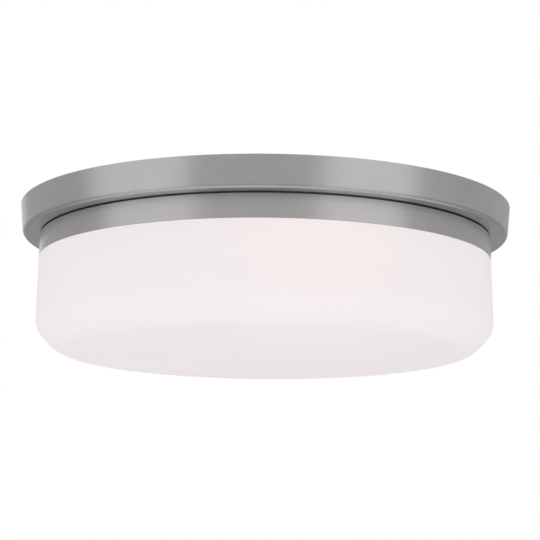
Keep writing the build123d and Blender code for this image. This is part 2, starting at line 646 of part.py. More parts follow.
def make_bulb(azimuth, name):
    """Pear-shaped bulb: hollow envelope, screw base, insulator and tip, each its own piece."""
    axis = lamp_axis(azimuth)
    side = upright(azimuth, LAMP_Z)
    rim = BULB_TIP + BASE_LENGTH
    end = BULB_TIP + BULB_LENGTH
    centre = end - BULB_DIAMETER / 2
    neck_end = rim + BULB_NECK_LENGTH
    span = centre - neck_end
    ball = BULB_DIAMETER / 2
    # the neck's flare is tangent to the straight neck and to the ball
    flare = (span**2 + BULB_NECK_RADIUS**2 - ball**2) / (2 * (ball - BULB_NECK_RADIUS))
    with BuildPart() as envelope:
        with BuildSketch(side):
            for inset in (0.0, BULB_WALL):
                neck = BULB_NECK_RADIUS - inset
                share = (ball - inset) / (ball + flare)
                meet = (centre - span * share, (BULB_NECK_RADIUS + flare) * share)
                with BuildLine():
                    Polyline((rim, 0), (rim, neck), (neck_end, neck))
                    RadiusArc((neck_end, neck), meet, -(flare + inset))
                    ThreePointArc(meet, (centre, ball - inset), (end - inset, 0))
                    Line((end - inset, 0), (rim, 0))
                make_face(mode=Mode.SUBTRACT if inset else Mode.ADD)
        revolve(axis=axis)
    save(envelope, f"{name}_envelope")

    heel = BULB_TIP + BASE_HEEL
    front = BULB_TIP + TIP_HEIGHT + TIP_GAP
    insulator_radius = (TIP_DIAMETER / 2 + BASE_RADIUS) / 2
    slope_end = heel + BASE_RADIUS - insulator_radius
    mitre = tan(radians(45 / 2))
    with BuildPart() as base:
        with BuildSketch(side):
            with BuildLine():
                Polyline(
                    (heel, insulator_radius),
                    (slope_end, BASE_RADIUS),
                    (rim, BASE_RADIUS),
                    (rim, BASE_RADIUS - BASE_SHEET),
                    (slope_end + BASE_SHEET * mitre, BASE_RADIUS - BASE_SHEET),
                    (heel + BASE_SHEET * sqrt(2), insulator_radius),
                    close=True,
                )
            make_face()
        revolve(axis=axis)
    save(base, f"{name}_base")

    with BuildPart() as insulator:
        with BuildSketch(side):
            with BuildLine():
                Polyline(
                    (front, 0),
                    (front, TIP_DIAMETER / 2),
                    (heel - SEAT_GAP, insulator_radius - HOLE_GAP),
                    (heel + INSULATOR_DEPTH, insulator_radius - HOLE_GAP),
                    (heel + INSULATOR_DEPTH, 0),
                    close=True,
                )
            make_face()
        revolve(axis=axis)
    save(insulator, f"{name}_insulator")

    with BuildPart() as tip:
        with BuildSketch(side):
            with BuildLine():
                Line((BULB_TIP + TIP_HEIGHT, TIP_DIAMETER / 2), (BULB_TIP + TIP_HEIGHT, 0))
                Line((BULB_TIP + TIP_HEIGHT, 0), (BULB_TIP, 0))
                SagittaArc((BULB_TIP, 0), (BULB_TIP + TIP_HEIGHT, TIP_DIAMETER / 2), -TIP_HEIGHT / 4)
            make_face()
        revolve(axis=axis)
    save(tip, f"{name}_tip")


for number, azimuth in enumerate(LAMP_AZIMUTHS, 1):
    make_bracket(azimuth, f"socket_{number}_bracket")
    make_socket_body(azimuth, f"socket_{number}_body")
    make_socket_shell(azimuth, f"socket_{number}_shell")
    make_contact(azimuth, f"socket_{number}_contact")
    make_bulb(azimuth, f"bulb_{number}")

with BuildPart() as socket_screws:
    for azimuth in LAMP_AZIMUTHS:
        with BuildSketch(lamp_end(azimuth, BRACKET_INNER)):
            with Locations(*[(side, 0) for side in screw_sides]):
                Circle(SOCKET_SCREW_HEAD_DIAMETER / 2)
        extrude(amount=-SOCKET_SCREW_HEAD_HEIGHT)
        with BuildSketch(lamp_end(azimuth, BRACKET_INNER)):
            with Locations(*[(side, 0) for side in screw_sides]):
                Circle(SOCKET_SCREW_DIAMETER / 2)
        extrude(amount=BRACKET_SHEET + SOCKET_SCREW_DEPTH - HOLE_GAP)
save(socket_screws, "socket_screws")

# Bushing that lines the pan's lead hole
bushing_top_z = FLOOR_TOP_Z + BUSHING_LIP
bushing_low_z = FLOOR_Z - BUSHING_LIP
with BuildPart() as lead_bushing:
    with BuildSketch(Plane.XZ):
        with BuildLine():
            Polyline(
                (BUSHING_BORE_RADIUS, bushing_low_z),
                (BUSHING_RADIUS + BUSHING_FLANGE, bushing_low_z),
                (BUSHING_RADIUS + BUSHING_FLANGE, FLOOR_Z),
                (BUSHING_RADIUS, FLOOR_Z),
                (BUSHING_RADIUS, FLOOR_TOP_Z),
                (BUSHING_RADIUS + BUSHING_LIP / 2, FLOOR_TOP_Z),
                (BUSHING_RADIUS, bushing_top_z),
                (BUSHING_BORE_RADIUS, bushing_top_z),
                close=True,
            )
        make_face()
    revolve(axis=Axis.Z)
save(lead_bushing, "lead_bushing")

# Splice caps lie on the pan's floor, one each side of the crossbar
splice_z = FLOOR_TOP_Z + SEAT_GAP + SPLICE_CAP_RADIUS
nest_side = (LEAD_DIAMETER + SEAT_GAP) / 2
nest = nest_side * 2 / sqrt(3)
splice_bore = nest + LEAD_DIAMETER / 2 + HOLE_GAP


def make_splice_cap(side, name):
    """Tapered cap on the joined ends of three leads; its mouth faces the fixture's axis."""
    mouth = SPLICE_CAP_PLACE
    tail = mouth + SPLICE_CAP_LENGTH
    with BuildPart() as cap:
        with BuildSketch(upright(90 * side, splice_z)):
            with BuildLine():
                Polyline(
                    (mouth, splice_bore),
                    (mouth, SPLICE_CAP_RADIUS),
                    (mouth + SPLICE_CAP_LENGTH / 4, SPLICE_CAP_RADIUS),
                    (tail, SPLICE_CAP_RADIUS - SPLICE_CAP_TAPER),
                    (tail, 0),
                    (mouth + SPLICE_CAP_DEPTH, 0),
                    (mouth + SPLICE_CAP_DEPTH, splice_bore),
                    close=True,
                )
            make_face()
            round_corners(SPLICE_CAP_TAPER, (tail, SPLICE_CAP_RADIUS - SPLICE_CAP_TAPER))
        revolve(axis=Axis((0, 0, splice_z), (0, side, 0)))
    save(cap, name)


make_splice_cap(1, "splice_cap_hot")
make_splice_cap(-1, "splice_cap_neutral")

# Leads: out of a socket's back, up through the bushing, over to a splice cap. Each entry has the
# lamp, the side of its socket, the height of the level run over the cap's axis, the point where
# that run turns in towards the cap, and the lead's place in the cap's mouth.
low, high = -nest / 2, nest
hot_leads_plan = (
    (LAMP_AZIMUTHS[0], LEAD_SPREAD, 3.4, (4.5, 9.0), (0.0, high)),
    (LAMP_AZIMUTHS[1], LEAD_SPREAD, low, (3.6, 14.0), (nest_side, low)),
    (LAMP_AZIMUTHS[2], -LEAD_SPREAD, low, (-3.6, 14.0), (-nest_side, low)),
)
neutral_leads_plan = (
    (LAMP_AZIMUTHS[0], -LEAD_SPREAD, -high, (-4.0, -13.0), (0.0, -high)),
    (LAMP_AZIMUTHS[1], -LEAD_SPREAD, -low, (8.3, -11.0), (nest_side, -low)),
    (LAMP_AZIMUTHS[2], LEAD_SPREAD, -low, (-8.3, -11.0), (-nest_side, -low)),
)


def make_leads(plan, side, name):
    """Three round leads that end side by side in one splice cap."""
    with BuildPart() as leads:
        for azimuth, spread, level, turn, place in plan:
            level_z = splice_z + level
            points = [
                lamp_point(azimuth, SOCKET_BACK + LEAD_DEPTH, spread),
                lamp_point(azimuth, LEAD_INSET, spread),
                lamp_point(azimuth, LEAD_INSET, spread, level_z),
                (*turn, level_z),
                (place[0], side * (SPLICE_CAP_PLACE - LEAD_DIAMETER), splice_z + place[1]),
                (place[0], side * (SPLICE_CAP_PLACE + SPLICE_CAP_DEPTH - HOLE_GAP), splice_z + place[1]),
            ]
            with BuildLine() as route:
                FilletPolyline(*points, radius=LEAD_BENDS)
            with BuildSketch(Plane(route.line @ 0, z_dir=route.line % 0)):
                Circle(LEAD_DIAMETER / 2)
            sweep()
    save(leads, name)


make_leads(hot_leads_plan, 1, "hot_leads")
make_leads(neutral_leads_plan, -1, "neutral_leads")

# Ground path: a lead between a screw under the crossbar and a screw in the pan
barrel_radius = LEAD_DIAMETER / 2 + HOLE_GAP + TERMINAL_SHEET
terminal_radius = GROUND_HEAD_DIAMETER / 2
bar_terminal_z = -CROSSBAR_SHEET - TERMINAL_SHEET
bar_wire_z = -CROSSBAR_SHEET - barrel_radius
pan_wire_z = FLOOR_TOP_Z + barrel_radius
ground_x, ground_pan_y = ground_pan_place
with BuildPart() as ground_screws:
    with BuildSketch(Plane.XY.offset(bar_terminal_z)):
        with Locations((ground_x, 0)):
            RegularPolygon(GROUND_HEAD_DIAMETER / 2, 6)
    extrude(amount=-GROUND_HEAD_HEIGHT)
    with BuildSketch(Plane.XY.offset(bar_terminal_z)):
        with Locations((ground_x, 0)):
            Circle(GROUND_SCREW_DIAMETER / 2)
    extrude(amount=-bar_terminal_z)
    with BuildSketch(Plane.XY.offset(FLOOR_TOP_Z + TERMINAL_SHEET)):
        with Locations((ground_x, ground_pan_y)):
            RegularPolygon(GROUND_HEAD_DIAMETER / 2, 6)
    extrude(amount=GROUND_HEAD_HEIGHT)
    with BuildSketch(Plane.XY.offset(FLOOR_TOP_Z + TERMINAL_SHEET)):
        with Locations((ground_x, ground_pan_y)):
            Circle(GROUND_SCREW_DIAMETER / 2)
    extrude(amount=-(TERMINAL_SHEET + PAN_SHEET + GROUND_HEAD_HEIGHT))
save(ground_screws, "ground_screws")

with BuildPart() as ground_terminals:
    for y, level, wire_z, side in (
        (0, bar_terminal_z, bar_wire_z, 1),
        (ground_pan_y, FLOOR_TOP_Z, pan_wire_z, -1),
    ):
        with BuildSketch(Plane.XY.offset(level)):
            with Locations((ground_x, y)):
                Circle(terminal_radius)
            with Locations((ground_x, y + side * terminal_radius)):
                Rectangle(LEAD_DIAMETER, terminal_radius)
            with Locations((ground_x, y)):
                Circle(GROUND_SCREW_DIAMETER / 2 + HOLE_GAP, mode=Mode.SUBTRACT)
        extrude(amount=TERMINAL_SHEET)
        with BuildSketch(Plane((ground_x, y + side * terminal_radius, wire_z), z_dir=(0, side, 0))):
            Circle(barrel_radius)
        extrude(amount=TERMINAL_BARREL)
        with BuildSketch(Plane((ground_x, y + side * terminal_radius, wire_z), z_dir=(0, side, 0))):
            Circle(LEAD_DIAMETER / 2 + HOLE_GAP)
        extrude(amount=TERMINAL_BARREL, mode=Mode.SUBTRACT)
save(ground_terminals, "ground_terminals")

ground_drop = bar_wire_z - pan_wire_z
ground_turn_y = ground_pan_y / 2
ground_bend = min(ground_drop, ground_turn_y) * GROUND_BEND_SHARE
with BuildPart() as ground_lead:
    with BuildLine() as ground_route:
        FilletPolyline(
            (ground_x, terminal_radius + HOLE_GAP, bar_wire_z),
            (ground_x, ground_turn_y, bar_wire_z),
            (ground_x, ground_turn_y, pan_wire_z),
            (ground_x, ground_pan_y - terminal_radius - HOLE_GAP, pan_wire_z),
            radius=ground_bend,
        )
    with BuildSketch(Plane(ground_route.line @ 0, z_dir=ground_route.line % 0)):
        Circle(LEAD_DIAMETER / 2)
    sweep()
save(ground_lead, "ground_lead")
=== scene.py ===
# %% [markdown]
# # A drum flush-mount ceiling light
# The light hangs from a ceiling: a brushed nickel pan, a nickel ring under it, and a drum of opal
# glass that twists into clips in the ring. Inside are three bulbs, and on top, where the ceiling
# hides them, a strap, wires and an insulation mat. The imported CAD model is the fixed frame, in
# metres, and each cell below dresses one piece of it.

# %% Load the frame
from math import atan2, ceil, cos, degrees, hypot, pi, radians, sin, sqrt, tan

import bmesh
import bpy
from mathutils import Matrix, Vector


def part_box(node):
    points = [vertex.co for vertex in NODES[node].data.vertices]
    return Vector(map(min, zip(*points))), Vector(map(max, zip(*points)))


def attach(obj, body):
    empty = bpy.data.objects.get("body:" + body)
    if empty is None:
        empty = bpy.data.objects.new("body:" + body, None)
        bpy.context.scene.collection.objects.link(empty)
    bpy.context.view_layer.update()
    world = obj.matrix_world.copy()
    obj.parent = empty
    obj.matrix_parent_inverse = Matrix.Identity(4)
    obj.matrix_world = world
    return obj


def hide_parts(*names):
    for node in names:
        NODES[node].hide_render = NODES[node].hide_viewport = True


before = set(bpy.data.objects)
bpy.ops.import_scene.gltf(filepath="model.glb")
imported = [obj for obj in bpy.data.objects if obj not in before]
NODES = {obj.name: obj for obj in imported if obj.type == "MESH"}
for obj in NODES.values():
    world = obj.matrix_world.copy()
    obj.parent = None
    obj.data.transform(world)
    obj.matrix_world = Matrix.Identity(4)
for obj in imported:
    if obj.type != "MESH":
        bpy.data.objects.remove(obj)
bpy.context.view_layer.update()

MM = 0.001

# %% [markdown]
# ## Camera
# The picture was taken from a little below the light with a long lens, so the drum shows almost
# no perspective. The camera stands where the rims' ellipses say, tilted up, and the whole view is
# turned about the light's axis so that the nearest bulb sits right of the middle, where the glass
# glows. The lens follows from the focal length in pixels of a 540-pixel frame.

# %% Camera
FRAME_PIXELS = 540
FOCAL_PIXELS = 1746.2
SENSOR_WIDTH = 36.0
CAMERA_PLACE = Vector((0, -1410.6, -306.3)) * MM
CAMERA_PITCH = 10.384
CAMERA_YAW = 0.169
CAMERA_ROLL = 0.471
VIEW_TURN = -13.5

bpy.ops.object.camera_add()
camera = bpy.context.object
camera.data.sensor_width = SENSOR_WIDTH
camera.data.lens = SENSOR_WIDTH * FOCAL_PIXELS / FRAME_PIXELS
camera.matrix_world = (
    Matrix.Rotation(radians(VIEW_TURN), 4, "Z")
    @ Matrix.Translation(CAMERA_PLACE)
    @ Matrix.Rotation(radians(-CAMERA_YAW), 4, "Z")
    @ Matrix.Rotation(radians(90 + CAMERA_PITCH), 4, "X")
    @ Matrix.Rotation(radians(CAMERA_ROLL), 4, "Z")
)
bpy.context.scene.camera = camera
bpy.context.scene.view_settings.view_transform = "Standard"
print("lens", round(camera.data.lens, 1), "mm at", [round(v, 3) for v in camera.matrix_world.translation])

# %% [markdown]
# ## Helpers for nodes
# Every material and the world are built from nodes. One function adds a node, sets it up and
# links what feeds it; another turns a colour as a paint chart writes it into the linear numbers
# that light is reckoned in. The rest put names to what keeps coming back: a step of arithmetic, a
# level that follows another, a noise of a real size, a blend, a relief and the shader at the end.


# %% Node helpers
def linear(hex_colour):
    """An sRGB hex colour as linear red, green, blue and alpha."""
    shares = [int(hex_colour[i : i + 2], 16) / 255 for i in (1, 3, 5)]
    return [s / 12.92 if s <= 0.04045 else ((s + 0.055) / 1.055) ** 2.4 for s in shares] + [1.0]


def add(tree, kind, inputs=None, **settings):
    """Add a node: settings are its properties, inputs are values or the sockets that feed it."""
    made = tree.nodes.new("ShaderNode" + kind)
    for name, value in settings.items():
        setattr(made, name, value)
    for name, value in (inputs or {}).items():
        if isinstance(value, bpy.types.NodeSocket):
            tree.links.new(value, made.inputs[name])
        else:
            made.inputs[name].default_value = value
    return made


def new_material(name):
    """An empty node material and its tree."""
    material = bpy.data.materials.new(name)
    material.use_nodes = True
    material.node_tree.nodes.clear()
    return material, material.node_tree


def reckon(tree, operation, first, second):
    """One step of arithmetic on two values."""
    return add(tree, "Math", {0: first, 1: second}, operation=operation).outputs[0]


def ramp(tree, value, edges, levels=(0.0, 1.0)):
    """A value that goes from one level to the other while its input passes between two edges."""
    inputs = {"Value": value, 1: edges[0], 2: edges[1], 3: levels[0], 4: levels[1]}
    return add(tree, "MapRange", inputs).outputs[0]


def noise(tree, place, size, detail):
    """Noise whose blotches are about a size in mm across."""
    inputs = {"Vector": place, "Scale": 1 / (size * MM), "Detail": detail}
    return add(tree, "TexNoise", inputs).outputs["Fac"]


def blend(tree, share, dark, light):
    """A colour that goes from one hex colour to another with a share."""
    inputs = {"Fac": share, "Color1": linear(dark), "Color2": linear(light)}
    return add(tree, "MixRGB", inputs).outputs[0]


def relief(tree, height, strength, depth):
    """The normal of a skin that a height raises by up to a depth in mm."""
    inputs = {"Height": height, "Strength": strength, "Distance": depth * MM}
    return add(tree, "Bump", inputs).outputs[0]


def surface(tree, inputs):
    """End a material's tree with one shader."""
    shader = add(tree, "BsdfPrincipled", inputs)
    add(tree, "OutputMaterial", {"Surface": shader.outputs[0]})


print("white in linear light:", linear("#FFFFFF"))

# %% [markdown]
# ## Studio
# The light floats on plain white. A white world would wash the metal out, so the world answers
# each kind of ray in its own way: the camera sees white; a diffuse ray gets a soft light, a little
# stronger from below; a mirror ray sees a grey studio, darker low down and paler on the camera's
# side, with the white backdrop behind the light. Two tall softboxes stand left and right of the
# camera and draw the two pale bands on the metal. Far below lies a pale floor that thins out into
# the white. Mirror rays see only part of it, or it would draw a bright line along the pan's edge.

# %% World
BACKDROP_WHITE = 1.0
SOFT_LIGHT = (1.01, 0.83)  # from below and from above
SOFT_EDGE = (-0.3, 0.3)
FRONT_GREY = 0.52
SIDE_GREY = 0.43
SIDE_EDGE = (-0.9, 0.2)
BACKDROP_EDGE = (0.90, 0.975)
BACKDROP_TURN = 9.0
STUDIO_DARK = 0.30
DARK_EDGE = (-0.22, 0.02)
HORIZON_EDGE = (-0.02, 0.16)

world = bpy.data.worlds.new("white_studio")
bpy.context.scene.world = world
world.use_nodes = True
tree = world.node_tree
tree.nodes.clear()
ray = add(tree, "LightPath").outputs
direction = add(tree, "TexCoord").outputs["Generated"]
behind = Matrix.Rotation(radians(VIEW_TURN + BACKDROP_TURN), 3, "Z") @ Vector((0, 1, 0))
away = add(tree, "VectorMath", {0: direction, 1: behind}, operation="DOT_PRODUCT").outputs["Value"]
height = add(tree, "SeparateXYZ", {0: direction}).outputs["Z"]
far_side = ramp(tree, away, BACKDROP_EDGE)
over_floor = ramp(tree, height, HORIZON_EDGE)
window = reckon(tree, "MULTIPLY", far_side, over_floor)
grey = ramp(tree, away, SIDE_EDGE, (FRONT_GREY, SIDE_GREY))
room = ramp(tree, height, DARK_EDGE, (STUDIO_DARK, grey))
studio = add(tree, "Mix", {0: window, 2: room, 3: BACKDROP_WHITE}).outputs[0]
soft = ramp(tree, height, SOFT_EDGE, SOFT_LIGHT)
mirror_ray = reckon(tree, "MAXIMUM", ray["Is Glossy Ray"], ray["Is Transmission Ray"])
unseen = add(tree, "Mix", {0: mirror_ray, 2: soft, 3: studio}).outputs[0]
level = add(tree, "Mix", {0: ray["Is Camera Ray"], 2: unseen, 3: BACKDROP_WHITE}).outputs[0]
background = add(tree, "Background", {"Color": linear("#FFFFFF"), "Strength": level})
add(tree, "OutputWorld", {"Surface": background.outputs[0]})
print("studio: soft light", SOFT_LIGHT, "grey", FRONT_GREY, "to", SIDE_GREY)

# %% Softboxes
SOFTBOX_DISTANCE = 2.0
SOFTBOX_HEIGHT = 3.4
SOFTBOX_Z = -0.5
# degrees to the side of the camera, width in m, power in W
SOFTBOXES = {"left_softbox": (-58.0, 1.8, 5.8), "right_softbox": (47.0, 1.6, 5.4)}

for name, (side, width, watts) in SOFTBOXES.items():
    bearing = radians(VIEW_TURN + side)
    outward = Vector((sin(bearing), -cos(bearing), 0))
    place = outward * SOFTBOX_DISTANCE + Vector((0, 0, SOFTBOX_Z))
    bpy.ops.object.light_add(type="AREA", location=place)
    softbox = bpy.context.object
    softbox.name = name
    softbox.rotation_euler = (-outward).to_track_quat("-Z", "Y").to_euler()
    softbox.data.shape = "RECTANGLE"
    softbox.data.size = width
    softbox.data.size_y = SOFTBOX_HEIGHT
    softbox.data.energy = watts
    print(name, [round(v, 2) for v in place], watts, "W")

# %% Floor
FLOOR_DROP = 1.3
FLOOR_RADIUS = 1.9
FLOOR_SOLID = 0.3
FLOOR_CLEAR = 0.55

bpy.ops.object.select_all(action="DESELECT")
bpy.ops.mesh.primitive_circle_add(
    vertices=96, radius=FLOOR_RADIUS, fill_type="NGON", location=(0, 0, -FLOOR_DROP)
)
floor = bpy.context.object
floor.name = "studio_floor"
pale_floor, tree = new_material("pale_floor")
spot = add(tree, "TexCoord").outputs["Object"]
from_middle = add(tree, "VectorMath", {0: spot}, operation="LENGTH").outputs["Value"]
fade = ramp(tree, from_middle, (FLOOR_SOLID, FLOOR_RADIUS))
to_mirror = reckon(tree, "MULTIPLY", add(tree, "LightPath").outputs["Is Glossy Ray"], FLOOR_CLEAR)
thin = reckon(tree, "MAXIMUM", fade, to_mirror)
paper = add(tree, "BsdfDiffuse", {"Color": linear("#FAFBFF")})
clear = add(tree, "BsdfTransparent")
thinned = add(tree, "MixShader", {0: thin, 1: paper.outputs[0], 2: clear.outputs[0]})
add(tree, "OutputMaterial", {"Surface": thinned.outputs[0]})
floor.data.materials.append(pale_floor)
print("floor", FLOOR_DROP, "m below the ceiling plane")

# %% [markdown]
# ## Turning a profile
# Pan, ring, glass, sockets and bulbs are all turned shapes, so one way of working makes them all:
# a plane is merged to a single point, the point is extruded from corner to corner of the half
# section, the corners are rounded with a vertex bevel, and the outline is spun about the Z axis.
# A lathe profile keeps each edge at a size that can be read off, where a sculpted or subdivided
# cylinder would have to be fitted.


# %% Picking and finishing helpers
def alone(piece):
    """Leave edit mode and make one piece the only selected object."""
    if bpy.context.mode != "OBJECT":
        bpy.ops.object.mode_set(mode="OBJECT")
    bpy.ops.object.select_all(action="DESELECT")
    if piece:
        piece.select_set(True)
        bpy.context.view_layer.objects.active = piece


def edit(piece):
    """Enter edit mode on one piece alone."""
    alone(piece)
    bpy.ops.object.mode_set(mode="EDIT")


def pick(piece, kind, test):
    """In edit mode, select the vertices, edges or faces that pass a test."""
    bpy.ops.mesh.select_mode(type=kind)
    bpy.ops.mesh.select_all(action="DESELECT")
    mesh = bmesh.from_edit_mesh(piece.data)
    for element in {"VERT": mesh.verts, "EDGE": mesh.edges, "FACE": mesh.faces}[kind]:
        if test(element):
            element.select_set(True)
    bmesh.update_edit_mesh(piece.data)


def use(piece, kind, **settings):
    """Add a modifier with its settings and apply it."""
    alone(piece)
    modifier = piece.modifiers.new(kind.lower(), kind)
    for name, value in settings.items():
        setattr(modifier, name, value)
    bpy.ops.object.modifier_apply(modifier=modifier.name)


def clean(piece):
    """In edit mode, merge doubles and turn the faces outwards; then leave edit mode."""
    bpy.ops.mesh.select_all(action="SELECT")
    bpy.ops.mesh.remove_doubles(threshold=0.001 * MM)
    bpy.ops.mesh.normals_make_consistent(inside=False)
    bpy.ops.object.mode_set(mode="OBJECT")


def smooth(piece, angle=32):
    """Shade rounded faces smooth, keep flat faces flat and edges past the angle sharp."""
    alone(piece)
    bpy.ops.object.shade_smooth_by_angle(angle=radians(angle))
    use(piece, "WEIGHTED_NORMAL", keep_sharp=True)


def combine(piece, other, operation="DIFFERENCE"):
    """Cut another shape from a piece, join it on or keep what they share, and drop the other."""
    use(piece, "BOOLEAN", object=other, operation=operation, solver="EXACT")
    bpy.data.objects.remove(other)


def dress(piece, body, slot, material, *nodes):
    """Give a finished piece its material and body, and let it stand for its CAD nodes. The slot is not
    used.
    """
    piece.data.materials.clear()
    piece.data.materials.append(material)
    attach(piece, body)
    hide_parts(*nodes)
    print(piece.name, "triangles:", sum(len(p.vertices) - 2 for p in piece.data.polygons))


# %% Turning helpers
def draw_profile(name, corners):
    """Extrude a point through corners of radius, height, rounding and cuts; stay in edit mode.

    Radius, height and rounding are in mm; cuts divide the edge from that corner to the next. A
    profile that starts off the axis is closed.
    """
    alone(None)
    bpy.ops.mesh.primitive_plane_add(size=MM)
    piece = bpy.context.object
    piece.name = name
    bpy.ops.object.mode_set(mode="EDIT")
    bpy.ops.mesh.select_mode(type="VERT")
    bpy.ops.mesh.merge(type="CENTER")
    points = [Vector((r, 0, z)) * MM for r, z, *_ in corners]
    bpy.ops.transform.translate(value=points[0])
    for before, point in zip(points, points[1:]):
        bpy.ops.mesh.extrude_vertices_move(TRANSFORM_OT_translate={"value": point - before})

    def at(i):
        """A test for the vertex at a corner."""
        return lambda v: (v.co - points[i % len(points)]).length < 1e-7

    if points[0].x > 0:
        pick(piece, "VERT", lambda v: at(0)(v) or at(-1)(v))
        bpy.ops.mesh.edge_face_add()
    for i, (_, _, *extra) in enumerate(corners):
        rounding, cuts = (*extra, 0, 0)[:2]
        if rounding:
            back, ahead = points[i - 1] - points[i], points[(i + 1) % len(points)] - points[i]
            turn = pi - back.angle(ahead)
            pick(piece, "VERT", at(i))
            bpy.ops.mesh.bevel(
                offset=rounding * MM * tan(turn / 2),
                segments=max(3, ceil(degrees(turn) / 9)),
                affect="VERTICES",
            )
        if cuts:
            pick(piece, "EDGE", lambda e: any(map(at(i), e.verts)) and any(map(at(i + 1), e.verts)))
            bpy.ops.mesh.subdivide(number_cuts=cuts)
    return piece


def turned(name, corners, steps=48):
    """Spin a rounded profile about Z."""
    piece = draw_profile(name, corners)
    bpy.ops.mesh.select_all(action="SELECT")
    bpy.ops.mesh.spin(steps=steps, angle=2 * pi, center=(0, 0, 0), axis=(0, 0, 1))
    clean(piece)
    return piece


def roll_thread(piece, radius, depth, pitch, low, high, run_in, run_out):
    """Press a right-handed round thread into the wall at a radius, between two heights in mm."""
    for v in piece.data.vertices:
        r, z = v.co.xy.length / MM, v.co.z / MM
        if abs(r - radius) < 0.01 and low <= z <= high:
            wave = 0.5 - 0.5 * cos(2 * pi * z / pitch - atan2(v.co.y, v.co.x))
            fade = min(1, (z - low) / run_in, (high - z) / run_out)
            v.co.xy *= 1 - depth * wave * fade / radius


def copied(piece, name, move):
    """A copy of a piece with its own mesh, which takes up the move."""
    twin = bpy.data.objects.new(name, piece.data.copy())
    bpy.context.collection.objects.link(twin)
    twin.data.transform(move)
    return twin


def repeated(piece, moves):
    """Copies of a piece at several places, joined into one object that takes its name."""
    name = piece.name
    piece.name = "pattern"
    twins = [copied(piece, name, move) for move in moves]
    bpy.data.objects.remove(piece)
    alone(twins[0])
    for twin in twins:
        twin.select_set(True)
    bpy.ops.object.join()
    return twins[0]


def softened(name, node, width, angle=25):
    """A copy of a CAD node, merged, with its faces made whole and its edges broken by a bevel."""
    piece = bpy.data.objects.new(name, NODES[node].data.copy())
    bpy.context.collection.objects.link(piece)
    edit(piece)
    bpy.ops.mesh.customdata_custom_splitnormals_clear()
    clean(piece)
    edit(piece)
    bpy.ops.mesh.select_all(action="SELECT")
    bpy.ops.mesh.dissolve_limited(angle_limit=radians(0.5))
    bpy.ops.object.mode_set(mode="OBJECT")
    use(piece, "BEVEL", width=width * MM, segments=2, limit_method="ANGLE", angle_limit=radians(angle))
    smooth(piece)
    return piece


# %% [markdown]
# ## Brushed nickel
# Pan and ring are spun steel with satin nickel plate, brushed on the lathe. The strokes run round
# the axis, so a light is smeared across them, up and down the wall, and shows as an upright band.
# That is anisotropy, turned a quarter from the tangent round Z. The strokes themselves are noise
# that changes with radius and height but not with angle, broken up by a slower cloud. Flat faces
# are brushed more lightly than the walls, so they mirror what is under them more clearly.

# %% Brushed nickel
STROKE_SPACING = 0.9  # real strokes are 0.05 to 0.2 mm apart; drawn coarser, or they wouldn't show
STROKE_PATCH = 26.0
STROKE_RANGE = (0.1, 0.45)
WALL_ROUGHNESS = (0.31, 0.37)
FLAT_ROUGHNESS = 0.2
FLAT_EDGE = (0.8, 1.0)


def brushed_nickel():
    """Satin nickel plate: neutral grey metal whose fine strokes run round the axis."""
    material, tree = new_material("brushed_nickel")
    place = add(tree, "TexCoord").outputs["Object"]
    x, y, z = add(tree, "SeparateXYZ", {0: place}).outputs
    from_axis = add(tree, "CombineXYZ", {0: x, 1: y}).outputs[0]
    radius = add(tree, "VectorMath", {0: from_axis}, operation="LENGTH").outputs["Value"]
    across = add(tree, "CombineXYZ", {0: radius, 2: z}).outputs[0]
    strokes = noise(tree, across, STROKE_SPACING, 4.0)
    cloud = noise(tree, place, STROKE_PATCH, 3.0)
    broken = reckon(tree, "MULTIPLY", strokes, cloud)
    tone = ramp(tree, broken, STROKE_RANGE)
    wall_rough = ramp(tree, broken, STROKE_RANGE, WALL_ROUGHNESS)
    normal = add(tree, "NewGeometry").outputs["Normal"]
    upright = add(tree, "SeparateXYZ", {0: normal}).outputs["Z"]
    flat = add(tree, "Math", {0: upright}, operation="ABSOLUTE").outputs[0]
    surface(
        tree,
        {
            "Base Color": blend(tree, tone, "#CFCDCD", "#D9D7D6"),
            "Metallic": 1.0,
            "Roughness": ramp(tree, flat, FLAT_EDGE, (wall_rough, FLAT_ROUGHNESS)),
            "Anisotropic": 0.7,
            "Anisotropic Rotation": 0.25,
            "Normal": relief(tree, broken, 0.12, 0.05),
            "Tangent": add(tree, "Tangent", direction_type="RADIAL", axis="Z").outputs[0],
        },
    )
    return material


nickel = brushed_nickel()
print("made", nickel.name)

# %% [markdown]
# ## Opal glass
# Opal glass is white all through, because tiny crystals in it scatter the light, and its skin is
# etched to a satin, which takes most of the gloss away. Seen from outside it is a very even,
# faintly pink white. The lit bulbs' warmth on it is painted glow, a warm emission, strongest where
# they come nearest. Along the wall a lamp is both further off and seen aslant, so the painted glow
# falls away fast; it is worked out from how far each point of the glass is from each bulb. The pan
# above the bulbs throws their light back, so the painted glow sits a little higher than they do.

# %% Opal glass
LAMP_AZIMUTHS = {1: -90.0, 2: 30.0, 3: 150.0}
LAMP_Z = (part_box("bulb_1_base")[0].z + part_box("bulb_1_base")[1].z) / 2
BULB_RADIUS = (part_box("bulb_1_envelope")[1].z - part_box("bulb_1_envelope")[0].z) / 2
BULB_OUT = -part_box("bulb_1_envelope")[0].y - BULB_RADIUS
GLASS_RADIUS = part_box("glass_shade")[1].x
# painted glow: the bulbs' light through the glass, painted on as emission rather than cast by them
PAINTED_GLOW_LEVEL = 0.055
PAINTED_GLOW_FALLOFF = 4.0
PAINTED_GLOW_RISE = 18 * MM
OPAL_CLOUD = 45.0
ETCH_GRAIN = 1.2  # real etching is finer than 0.05 mm; drawn coarser, or it wouldn't show


